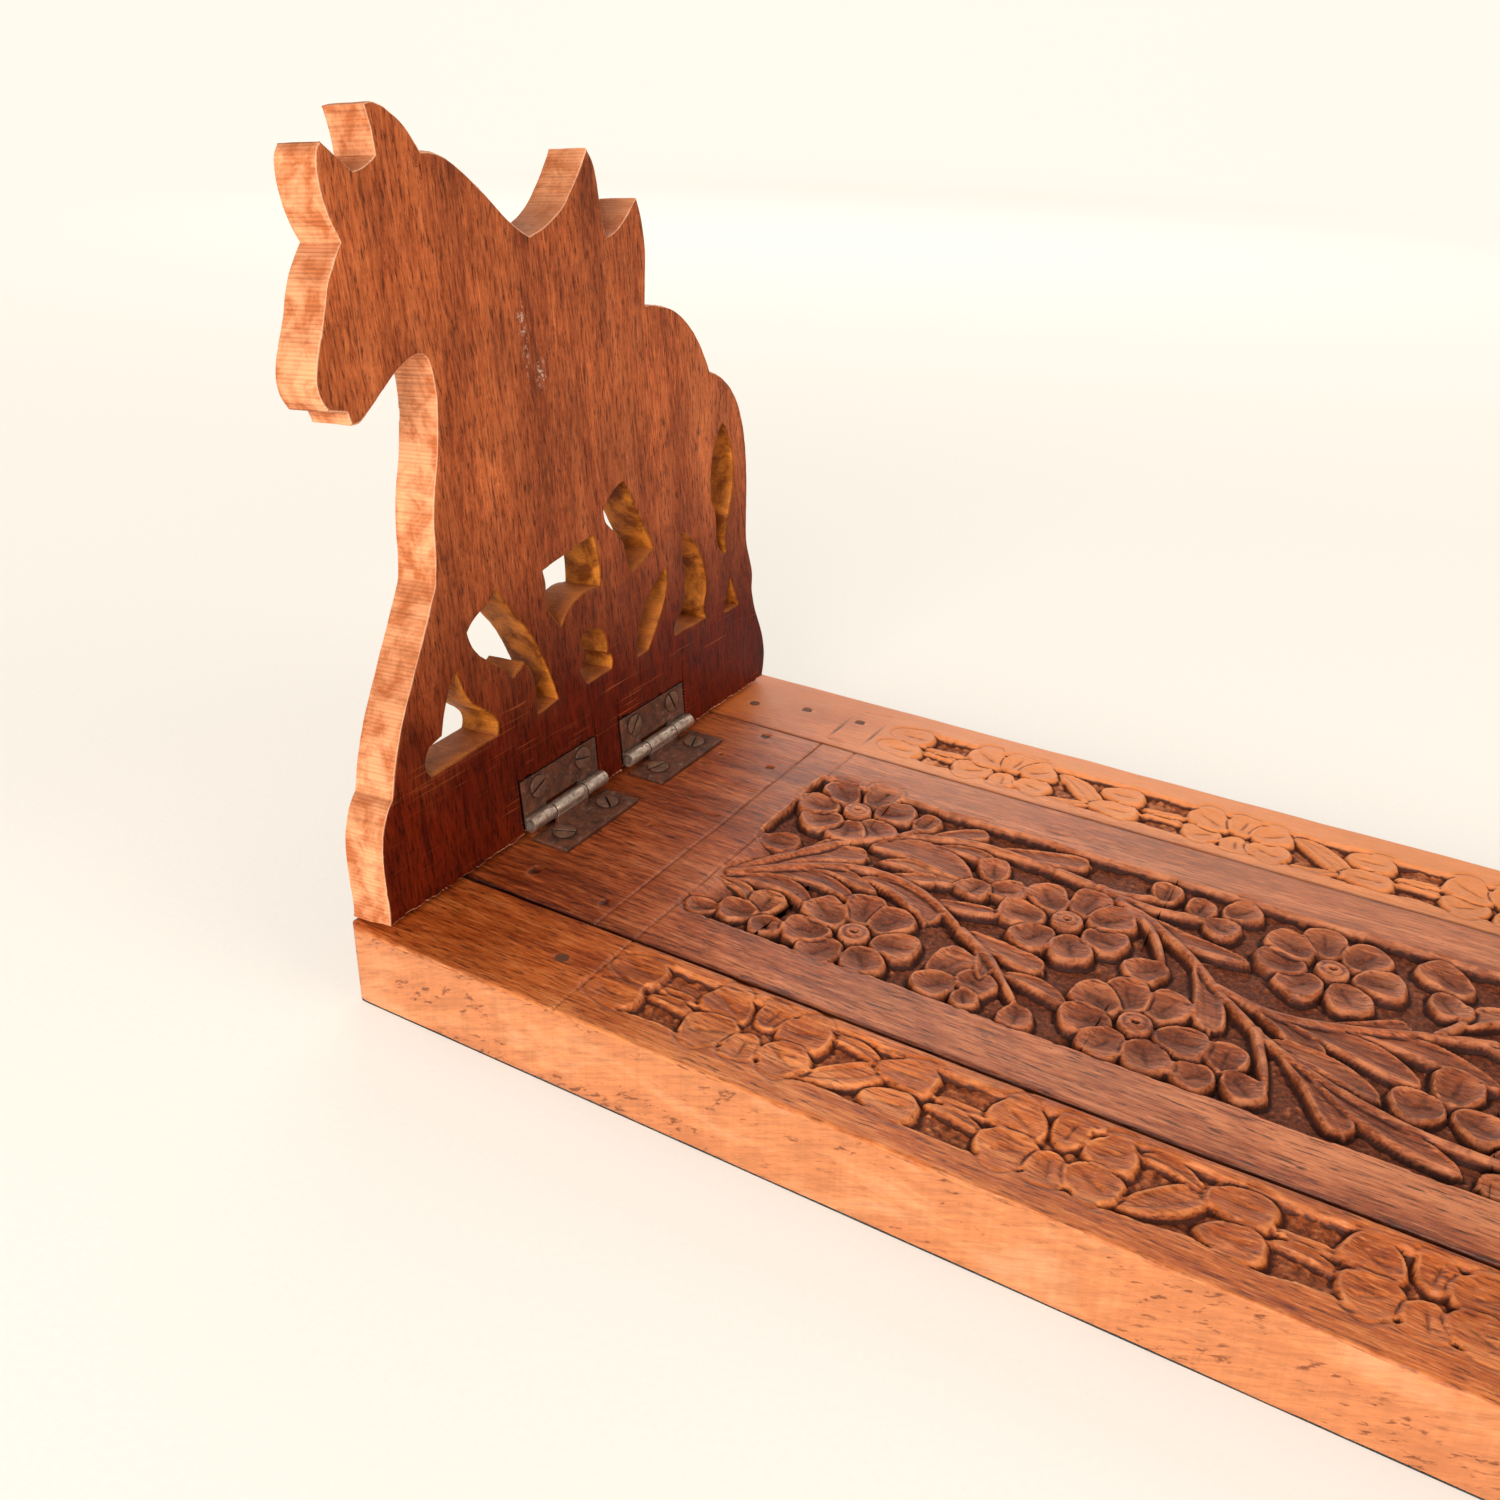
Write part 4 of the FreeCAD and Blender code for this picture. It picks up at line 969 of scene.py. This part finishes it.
class Tree:
    """A short way to write a material's nodes."""

    def __init__(self, name):
        self.material = bpy.data.materials.new(name)
        self.material.use_nodes = True
        self.nodes = self.material.node_tree.nodes
        self.links = self.material.node_tree.links
        self.shader = self.nodes["Principled BSDF"]

    def add(self, kind, settings=None, **inputs):
        node = self.nodes.new(kind)
        for key, value in (settings or {}).items():
            setattr(node, key, value)
        for key, value in inputs.items():
            self.feed(node.inputs[int(key[1:])] if key[0] == "_" else node.inputs[key], value)
        return node

    def feed(self, socket, value):
        if isinstance(value, bpy.types.NodeSocket):
            self.links.new(value, socket)
        else:
            socket.default_value = value

    def place(self):
        return self.add("ShaderNodeTexCoord").outputs["Object"]

    def lumps(self, vector, detail=3.0, rough=0.55, warp=0.0, scale=1.0):
        node = self.add("ShaderNodeTexNoise", Vector=vector, Scale=scale, Detail=detail, Roughness=rough,
                        Distortion=warp)
        return node.outputs["Fac"]

    def grain(self, vector, sizes, detail=3.0, rough=0.55, warp=0.0):
        """Noise whose lumps have a given size, in metres, along X, Y and Z."""
        scale = tuple(1 / size for size in sizes)
        stretched = self.add("ShaderNodeMapping", Vector=vector, Scale=scale).outputs["Vector"]
        return self.lumps(stretched, detail, rough, warp)

    def ramp(self, value, *stops):
        node = self.add("ShaderNodeValToRGB", Fac=value)
        band = node.color_ramp
        while len(band.elements) < len(stops):
            band.elements.new(0.5)
        for element, (where, colour) in zip(band.elements, stops):
            element.position = where
            element.color = colour if isinstance(colour, tuple) else (colour, colour, colour, 1)
        return node.outputs["Color"]

    def mix(self, amount, first, second, blend="MIX"):
        node = self.add("ShaderNodeMix", {"data_type": "RGBA", "blend_type": blend, "clamp_factor": True})
        self.feed(node.inputs[0], amount)
        self.feed(node.inputs[6], first)
        self.feed(node.inputs[7], second)
        return node.outputs[2]

    def tint(self, colour, factor):
        return self.mix(1.0, colour, factor, "MULTIPLY")

    def cover(self, colour, value, start, stop, other):
        """Lay another colour over one, by an amount that a value sets between two (value, amount) stops."""
        return self.mix(self.ramp(value, start, stop), colour, other)

    def math(self, operation, first, second=0.0):
        return self.add("ShaderNodeMath", {"operation": operation}, _0=first, _1=second).outputs["Value"]

    def times(self, first, second):
        return self.math("MULTIPLY", first, second)

    def plus(self, first, second):
        return self.math("ADD", first, second)

    def vector(self, operation, **inputs):
        outputs = self.add("ShaderNodeVectorMath", {"operation": operation}, **inputs).outputs
        return outputs["Value" if operation == "LENGTH" else "Vector"]

    def attribute(self, name):
        return self.add("ShaderNodeAttribute", {"attribute_name": name}).outputs["Fac"]

    def bump(self, height, distance, strength=1.0, onto=None):
        node = self.add("ShaderNodeBump", Height=height, Distance=distance, Strength=strength)
        if onto is not None:
            self.feed(node.inputs["Normal"], onto)
        return node.outputs["Normal"]

    def finish(self, colour, roughness, normal=None, metallic=0.0, specular=0.5):
        self.feed(self.shader.inputs["Base Color"], colour)
        self.feed(self.shader.inputs["Roughness"], roughness)
        self.feed(self.shader.inputs["Metallic"], metallic)
        self.shader.inputs["Specular IOR Level"].default_value = specular
        if normal is not None:
            self.feed(self.shader.inputs["Normal"], normal)
        return self.material


GRAIN_X, GRAIN_Y, GRAIN_Z = range(3)


def streak(axis, across, along):
    """Size of a streak of the grain, in metres, that runs along one axis."""
    return tuple(along if other == axis else across for other in range(3))


def deepened(colour, amount):
    return tuple(amount * c for c in colour[:3]) + (1,)


def grey(value):
    return (value, value, value, 1)


def wood_colour(tree, place, axis, dark, middle, light, seed):
    """Streaked rosewood: broad bands, fine streaks and short open pores along the grain, with painted glints
    on the fine grain.
    """
    shift = (seed, 0.37 * seed, 0.61 * seed)
    moved = tree.add("ShaderNodeMapping", Vector=place, Location=shift).outputs["Vector"]
    bands = tree.grain(moved, streak(axis, 0.012, 0.11), 4, 0.6, 0.7)
    streaks = tree.grain(moved, streak(axis, 0.0010, 0.010), 6, 0.72, 0.5)
    fine = tree.grain(moved, streak(axis, 0.00048, 0.0046), 4, 0.68, 0.25)
    figure = tree.plus(tree.times(bands, 0.50), tree.times(streaks, 0.50))
    colour = tree.ramp(figure, (0.38, dark), (0.50, middle), (0.62, light))
    pores = tree.times(tree.ramp(fine, (0.36, 1.0), (0.47, 0.0)), 0.85)
    colour = tree.mix(pores, colour, deepened(dark, 0.28))
    # painted glints: light specks laid where the fine grain noise is high
    colour = tree.cover(colour, fine, (0.55, 0.0), (0.66, 0.60), light)
    mottle = tree.lumps(moved, 5, 0.65, 0.0, 55.0)
    return tree.tint(colour, tree.ramp(mottle, (0.3, 0.78), (0.7, 1.18))), streaks, fine


def side_wood(tree, place, colour, dark):
    """The sawn outer side of a rail: saw lines, slanting fibres, soft patches and clusters of dark dashes."""
    saw = tree.grain(place, (0.0009, 0.02, 0.03), 3, 0.6)
    tone = tree.tint(colour, tree.ramp(saw, (0.35, 0.94), (0.6, 1.05)))
    slant = tree.add("ShaderNodeMapping", Vector=place, Rotation=(0.0, 0.42, 0.0)).outputs["Vector"]
    fibres = tree.grain(slant, (0.007, 0.02, 0.0008), 5, 0.7, 0.4)
    tone = tree.tint(tone, tree.ramp(fibres, (0.34, 0.74), (0.62, 1.16)))
    patch = tree.grain(place, (0.030, 0.030, 0.012), 4, 0.65, 0.5)
    tone = tree.cover(tone, patch, (0.44, 0.0), (0.68, 0.70), tree.mix(0.4, colour, dark))
    tone = tree.cover(tone, patch, (0.30, 0.42), (0.48, 0.0), linear(236, 176, 132))
    dashes = tree.grain(slant, (0.0024, 0.0010, 0.0009), 3, 0.55, 0.3)
    clusters = tree.ramp(patch, (0.50, 0.0), (0.56, 1.0))
    dashes = tree.times(tree.ramp(dashes, (0.57, 0.0), (0.66, 0.7)), clusters)
    return tree.mix(dashes, tone, deepened(dark, 0.4))


def carved_wood(name, tones, ground, side_colour, left_end_shade, back_sheen, seed):
    """Carved wood: a dark chopped ground with painted shade in the recesses, painted shade in the creases,
    pale worn ridges with a painted highlight, and a painted sheen on the far side.

    left_end_shade is the tint laid near the left end: painted shade by the foot of the left panel.
    """
    dark, middle, light = tones
    tree = Tree(name)
    place = tree.place()
    colour, streaks, fine = wood_colour(tree, place, GRAIN_X, dark, middle, light, seed)
    recess, wear_and_painted_light, side, gap_shade = (tree.attribute(key) for key in ("recess", "wear_and_painted_light", "side", "gap_shade"))
    axes = tree.add("ShaderNodeSeparateXYZ", Vector=place).outputs
    wander = tree.times(tree.lumps(place, 3, 0.6, 0.0, 42.0), 0.05)
    # painted sheen: towards the far side the wood is mixed towards its light colour
    colour = tree.cover(colour, tree.plus(axes["Y"], wander), (0.045, 0.0), (0.085, back_sheen), light)
    # painted shade: the left end, by the foot of the left panel, is tinted darker
    left_end_shade_ramp = tree.math("SUBTRACT", tree.times(axes["X"], -1.0), wander)
    colour = tree.cover(colour, left_end_shade_ramp, (0.060, 0.0), (0.105, 0.80), tree.tint(colour, left_end_shade))
    speck = tree.lumps(place, 4, 0.7, 0.2, 1100.0)
    # the sunk ground: its own dark colour with painted shade, laid in by recess depth
    sunk_ground_and_shade = tree.ramp(recess, (0.30, 0.0), (0.70, 0.90))
    colour = tree.mix(sunk_ground_and_shade, colour, tree.cover(ground[0], speck, (0.42, 0.0), (0.60, 1.0), ground[1]))
    # painted shade: where the carving dips into creases the colour is darkened
    colour = tree.cover(colour, tree.times(wear_and_painted_light, -1.0), (0.10, 0.0), (0.75, 0.95), deepened(dark, 0.25))
    # pale worn ridges and edges with a painted highlight, broken up by noise
    broken = tree.ramp(tree.lumps(place, 3, 0.6, 0.3, 240.0), (0.42, 0.12), (0.64, 0.85))
    colour = tree.mix(tree.times(tree.ramp(wear_and_painted_light, (0.12, 0.0), (0.80, 1.0)), broken), colour, light)
    colour = tree.mix(side, colour, side_wood(tree, place, side_colour, dark))
    # painted shade on the sides facing the gaps in the base and along the top edges beside them
    colour = tree.mix(gap_shade, colour, tree.tint(colour, (0.30, 0.24, 0.20, 1)))
    rough = tree.plus(tree.times(streaks, 0.6), tree.times(recess, 0.6))
    normal = tree.bump(fine, 0.00012, 0.7)
    normal = tree.bump(speck, 0.00030, tree.mix(sunk_ground_and_shade, grey(0.25), grey(0.9)), normal)
    normal = tree.bump(streaks, 0.00030, 0.6, normal)
    return tree.finish(colour, tree.ramp(rough, (0.22, 0.30), (0.8, 0.68)), normal, specular=0.30)


# Marks on the left horse's inner face: middle, reach (metres), strength and colour of each.
SURFACE_MARKS = (
    ((-0.1520, -0.0125, 0.1180), (0.006, 0.0016, 0.0110), 0.6, linear(214, 186, 168)),
    ((-0.1520, -0.0085, 0.1090), (0.006, 0.0022, 0.0040), 0.7, linear(214, 186, 168)),
    ((-0.1540, -0.0348, 0.1465), (0.004, 0.0010, 0.0065), 0.9, linear(52, 20, 10)),
    ((-0.1540, -0.0140, 0.1380), (0.004, 0.0008, 0.0040), 0.7, linear(60, 24, 12)),
)


def marked(tree, place, colour):
    """The broken smudges and scratches of SURFACE_MARKS."""
    chips = tree.ramp(tree.grain(place, (0.002, 0.0008, 0.0013), 3, 0.7, 0.5), (0.55, 0.0), (0.60, 1.0))
    for middle, reach, amount, mark in SURFACE_MARKS:
        spread = tree.vector("SUBTRACT", _0=place, _1=middle)
        far = tree.vector("LENGTH", _0=tree.vector("MULTIPLY", _0=spread, _1=tuple(1 / r for r in reach)))
        inside = tree.times(tree.ramp(far, (0.3, 1.0), (1.0, 0.0)), chips)
        colour = tree.mix(tree.times(inside, amount), colour, mark)
    return colour


def sawn_edge(tree, place, along, hollow, light, dark):
    """Colour and kerf lines of a fretsawn edge, golden in the openings, with painted shade where it faces up.
    """
    kerf = tree.lumps(tree.add("ShaderNodeCombineXYZ", X=along).outputs["Vector"], 3, 0.6, 0.0, 1.3)
    teeth = tree.math("SINE", tree.plus(tree.times(along, 8.4), tree.times(kerf, 9.0)))
    kerf = tree.plus(tree.times(kerf, 0.75), tree.times(teeth, 0.07))
    blotch = tree.lumps(place, 5, 0.65, 0.4, 170.0)
    edge = tree.cover(light, blotch, (0.42, 0.0), (0.62, 1.0), dark)
    edge = tree.tint(edge, tree.ramp(kerf, (0.26, 0.80), (0.44, 1.07)))
    golden = tree.cover(linear(206, 124, 44), blotch, (0.40, 0.0), (0.62, 1.0), linear(120, 60, 16))
    edge = tree.mix(hollow, edge, golden)
    normal = tree.add("ShaderNodeNewGeometry").outputs["Normal"]
    upward = tree.add("ShaderNodeSeparateXYZ", Vector=normal).outputs["Z"]
    # painted shade: edges that face up are darkened by their normal
    return tree.cover(edge, upward, (0.25, 0.0), (0.85, 0.72), deepened(dark, 0.55)), kerf


def panel_wood(name, tones, cut_light, cut_dark, foot_shade_colour, seed):
    """The horse's wood: upright grain on the faces, paler sawn edges, and painted shade that darkens it
    towards the foot.
    """
    dark, middle, light = tones
    tree = Tree(name)
    place = tree.place()
    colour, streaks, fine = wood_colour(tree, place, GRAIN_Z, dark, middle, light, seed)
    cut, hollow, recess, wear_and_painted_light, foot, along = (
        tree.attribute(key) for key in ("cut", "hollow", "recess", "wear_and_painted_light", "foot", "along"))
    flecks = tree.grain(place, (0.0010, 0.0010, 0.0042), 5, 0.78, 0.3)
    colour = tree.cover(colour, flecks, (0.55, 0.0), (0.66, 0.60), deepened(dark, 0.38))
    colour = tree.cover(colour, flecks, (0.36, 0.40), (0.46, 0.0), light)
    ripple = tree.grain(place, (0.004, 0.007, 0.0011), 4, 0.7, 0.6)
    colour = tree.tint(colour, tree.ramp(ripple, (0.34, 0.93), (0.60, 1.05)))
    veins = tree.grain(place, (0.004, 0.0016, 0.021), 4, 0.6, 0.5)
    colour = tree.cover(colour, veins, (0.60, 0.0), (0.70, 0.65), deepened(dark, 0.40))
    bands = tree.grain(place, (0.010, 0.0075, 0.060), 4, 0.6, 0.4)
    colour = tree.tint(colour, tree.ramp(bands, (0.34, (0.80, 0.74, 0.70, 1)), (0.62, (1.20, 1.18, 1.12, 1))))
    scratches = tree.grain(place, (0.004, 0.020, 0.0005), 2, 0.5, 0.3)
    scratches = tree.times(tree.ramp(scratches, (0.66, 0.0), (0.74, 0.5)), foot)
    # painted shade: the panel darkens towards its foot, broken up by noise
    foot_shade = tree.plus(foot, tree.times(tree.lumps(place, 4, 0.6, 0.3, 60.0), 0.5))
    foot_shade = tree.math("SUBTRACT", foot_shade, 0.25)
    colour = tree.cover(colour, foot_shade, (0.0, 0.0), (0.9, 1.0), tree.tint(colour, foot_shade_colour))
    colour = marked(tree, place, tree.mix(scratches, colour, middle))
    # painted shade in the carved recesses and the hinge mortises, by their depth
    colour = tree.mix(tree.times(recess, 0.75), colour, deepened(dark, 0.3))
    edge, kerf = sawn_edge(tree, place, along, hollow, cut_light, cut_dark)
    colour = tree.mix(cut, colour, edge)
    # pale rubbed edges with a painted highlight on the outline, and a painted shadow line along the openings'
    # edges
    rubbed = tree.mix(hollow, linear(250, 204, 172), deepened(dark, 0.12))
    colour = tree.cover(colour, wear_and_painted_light, (0.3, 0.0), (0.9, 0.60), rubbed)
    normal = tree.bump(fine, 0.00012, 0.6)
    normal = tree.bump(flecks, 0.00030, 0.6, normal)
    normal = tree.bump(ripple, 0.00020, 0.4, normal)
    normal = tree.bump(tree.times(kerf, cut), 0.00050, 0.8, normal)
    return tree.finish(colour, tree.ramp(streaks, (0.3, 0.42), (0.7, 0.60)), normal, specular=0.09)


def plain_wood(name, colours, seed):
    tree = Tree(name)
    colour, streaks, fine = wood_colour(tree, tree.place(), GRAIN_Y, *colours, seed)
    normal = tree.bump(streaks, 0.0002, 0.5, tree.bump(fine, 0.0001, 0.5))
    return tree.finish(colour, tree.ramp(streaks, (0.3, 0.6), (0.7, 0.8)), normal, specular=0.3)


def barrel_wear(tree, place):
    """1 on a hinge's barrel, where it is rubbed bright, and 0 on its leaves. Both hinge axes are alike."""
    axis = np.abs(HINGES["left_panel_fold"]["pos_m"])
    away = tree.vector("SUBTRACT", _0=tree.vector("ABSOLUTE", _0=place), _1=(axis[0], 0.0, axis[2]))
    far = tree.vector("LENGTH", _0=tree.vector("MULTIPLY", _0=away, _1=(500.0, 0.0, 500.0)))
    return tree.ramp(far, (0.88, 1.0), (0.99, 0.0))


def worn_metal(name, patina, bare, rust, bright, dull, barrel=False):
    """Brown-patinated iron, bare and bright where it is rubbed, with painted shade in its slots and between
    its parts.
    """
    tree = Tree(name)
    place = tree.place()
    cloud = tree.lumps(place, 5, 0.6, 0.3, 420.0)
    grit = tree.lumps(place, 4, 0.7, 0.0, 2600.0)
    colour = tree.ramp(cloud, (0.35, patina), (0.68, rust))
    scuff = tree.grain(place, (0.0011, 0.0018, 0.0011), 5, 0.75, 0.5)
    worn = tree.ramp(scuff, (0.56, 0.0), (0.72, 0.36))
    if barrel:
        rubbed = tree.times(barrel_wear(tree, place), tree.ramp(scuff, (0.36, 0.10), (0.54, 1.0)))
        worn = tree.math("MAXIMUM", worn, rubbed)
    colour = tree.mix(worn, colour, bare)
    # painted shade: ambient occlusion darkens slots, gaps between knuckles and the edges under the leaves
    occlusion_shade = tree.add("ShaderNodeAmbientOcclusion", {"samples": 6}, Distance=0.0011).outputs["AO"]
    colour = tree.cover(colour, occlusion_shade, (0.30, 0.95), (0.78, 0.0), linear(24, 12, 8))
    rough = tree.mix(worn, grey(dull), grey(bright))
    normal = tree.bump(grit, 0.00006, 0.6, tree.bump(cloud, 0.00030, 0.6))
    return tree.finish(colour, rough, normal, metallic=tree.mix(worn, grey(0.20), grey(0.95)))


def make_materials():
    """The stand's materials by use."""
    wood = {
        "board": carved_wood(
            "board_wood", (linear(102, 40, 14), linear(156, 76, 36), linear(206, 126, 80)),
            (linear(120, 54, 22), linear(64, 24, 8)), linear(196, 122, 76), (0.66, 0.44, 0.20, 1),
            0.50, 0.31),
        "rail": carved_wood(
            "rail_wood", (linear(134, 54, 12), linear(184, 92, 34), linear(226, 140, 80)),
            (linear(152, 72, 26), linear(92, 36, 10)), linear(208, 130, 80), (0.66, 0.50, 0.34, 1),
            0.75, 0.77),
        "panel": panel_wood(
            "panel_wood", (linear(134, 60, 28), linear(172, 88, 46), linear(198, 112, 66)),
            linear(242, 166, 118), linear(192, 108, 62), (0.25, 0.08, 0.025, 1), 0.13),
        "plain": plain_wood(
            "plain_wood", (linear(120, 78, 44), linear(164, 116, 70), linear(190, 144, 94)), 0.5),
    }
    irons = {
        "leaf": ("hinge_iron", (66, 36, 22), (200, 178, 160), (110, 60, 36), 0.28, 0.55, True),
        "screw": ("screw_iron", (86, 58, 44), (184, 160, 138), (122, 84, 62), 0.32, 0.44, False),
        "pin": ("pin_steel", (110, 100, 92), (170, 162, 152), (92, 74, 60), 0.3, 0.5, False),
        "nail": ("nail_iron", (104, 58, 30), (128, 88, 60), (84, 46, 24), 0.5, 0.7, False),
    }
    metal = {use: worn_metal(name, linear(*patina), linear(*bare), linear(*rust), bright, dull, barrel)
             for use, (name, patina, bare, rust, bright, dull, barrel) in irons.items()}
    return wood, metal


def dress_frame(wood, metal):
    """Finish the CAD pieces whose shape is already right."""
    uses = {"block_dowels": wood["plain"], "fork_batten": wood["plain"], "board_batten": wood["plain"],
            "fork_batten_nails": metal["nail"], "board_batten_screws": metal["screw"]}
    for side in ("left", "right"):
        for hinge in ("front", "back"):
            uses[f"{side}_{hinge}_hinge_pin"] = metal["pin"]
    for node, material in uses.items():
        slots = frame["nodes"][node].data.materials
        slots.clear()
        slots.append(material)


# ---------------------------------------------------------------- studio

CREAM = linear(255, 249, 239)
# The floor glows a little, and more towards its far edge.
GLOW_NEAR = 0.435
GLOW_RISE = 0.26


def make_stage():
    """A pale floor that curves up into a backdrop far behind."""
    profile = [(-1.6, 0.0), (1.9, 0.0)]
    radius = 1.4
    profile += [(1.9 + radius * math.sin(a), radius * (1 - math.cos(a)))
                for a in np.linspace(0.1, math.pi / 2, 20)]
    profile.append((1.9 + radius, 3.4))
    verts = [(x, y, z) for y, z in profile for x in (-4.5, 4.5)]
    faces = [(2 * i, 2 * i + 1, 2 * i + 3, 2 * i + 2) for i in range(len(profile) - 1)]
    mesh = bpy.data.meshes.new("floor")
    mesh.from_pydata(verts, [], faces)
    mesh.shade_smooth()
    floor = linked("floor", mesh)
    tree = Tree("floor_paper")
    paper = tree.ramp(tree.lumps(tree.place(), 2, 0.5, 0.0, 900.0), (0.3, deepened(CREAM, 0.49)),
                      (0.7, deepened(CREAM, 0.51)))
    tree.shader.inputs["Emission Color"].default_value = CREAM
    distance = tree.times(tree.vector("LENGTH", _0=tree.place()), 0.4)
    glow = tree.math("MULTIPLY_ADD", tree.ramp(distance, (0.15, 0.0), (0.85, 1.0)), GLOW_RISE)
    glow.node.inputs[2].default_value = GLOW_NEAR
    tree.feed(tree.shader.inputs["Emission Strength"], glow)
    mesh.materials.append(tree.finish(paper, 0.9, specular=0.0))
    floor.rotation_euler.z = math.radians(28)


def area_light(name, place, aim, size, power, colour):
    data = bpy.data.lights.new(name, "AREA")
    data.shape = "RECTANGLE"
    data.size, data.size_y = size
    data.energy = power
    data.color = colour[:3]
    lamp = linked(name, data)
    lamp.location = place
    lamp.rotation_euler = (Vector(aim) - Vector(place)).to_track_quat("-Z", "Y").to_euler()


def make_lights():
    aim = (-0.05, 0.0, 0.03)
    area_light("key", (0.15, -1.25, 0.55), aim, (0.8, 0.6), 19, linear(255, 250, 244))
    area_light("sheen", (-0.65, 1.15, 0.85), aim, (1.2, 0.8), 6, linear(255, 253, 250))
    area_light("right", (1.0, 0.1, 0.9), aim, (0.7, 0.7), 5, linear(255, 250, 244))
    world = bpy.data.worlds.new("studio")
    world.use_nodes = True
    world.node_tree.nodes["Background"].inputs["Color"].default_value = linear(255, 252, 247)
    world.node_tree.nodes["Background"].inputs["Strength"].default_value = 0.5
    bpy.context.scene.world = world
    bpy.context.scene.view_settings.view_transform = "Standard"


# The photograph's viewpoint: close to the base's front edge, near its middle, looking at the left panel.
CAMERA_PLACE = Vector((20.3, -220.9, 167.1)) * MM
CAMERA_AIM = Vector((-126.7, 54.6, 17.0)) * MM
CAMERA_ROLL = math.radians(2.46)
CAMERA_LENS = 32.95
CAMERA_SHIFT = (-0.0291, -0.0241)


def make_camera():
    data = bpy.data.cameras.new("camera")
    data.lens = CAMERA_LENS
    data.sensor_width = 36.0
    data.shift_x, data.shift_y = CAMERA_SHIFT
    data.clip_start = 0.01
    camera = linked("camera", data)
    camera.location = CAMERA_PLACE
    look = (CAMERA_AIM - CAMERA_PLACE).to_track_quat("-Z", "Y")
    camera.rotation_mode = "QUATERNION"
    camera.rotation_quaternion = look @ Quaternion((0, 0, 1), CAMERA_ROLL)
    bpy.context.scene.camera = camera


make_camera()
wood, metal = make_materials()
dress_frame(wood, metal)
make_base(wood)
for side in ("left", "right"):
    make_horse(side, wood["panel"])
make_hinges(metal)
make_stage()
make_lights()
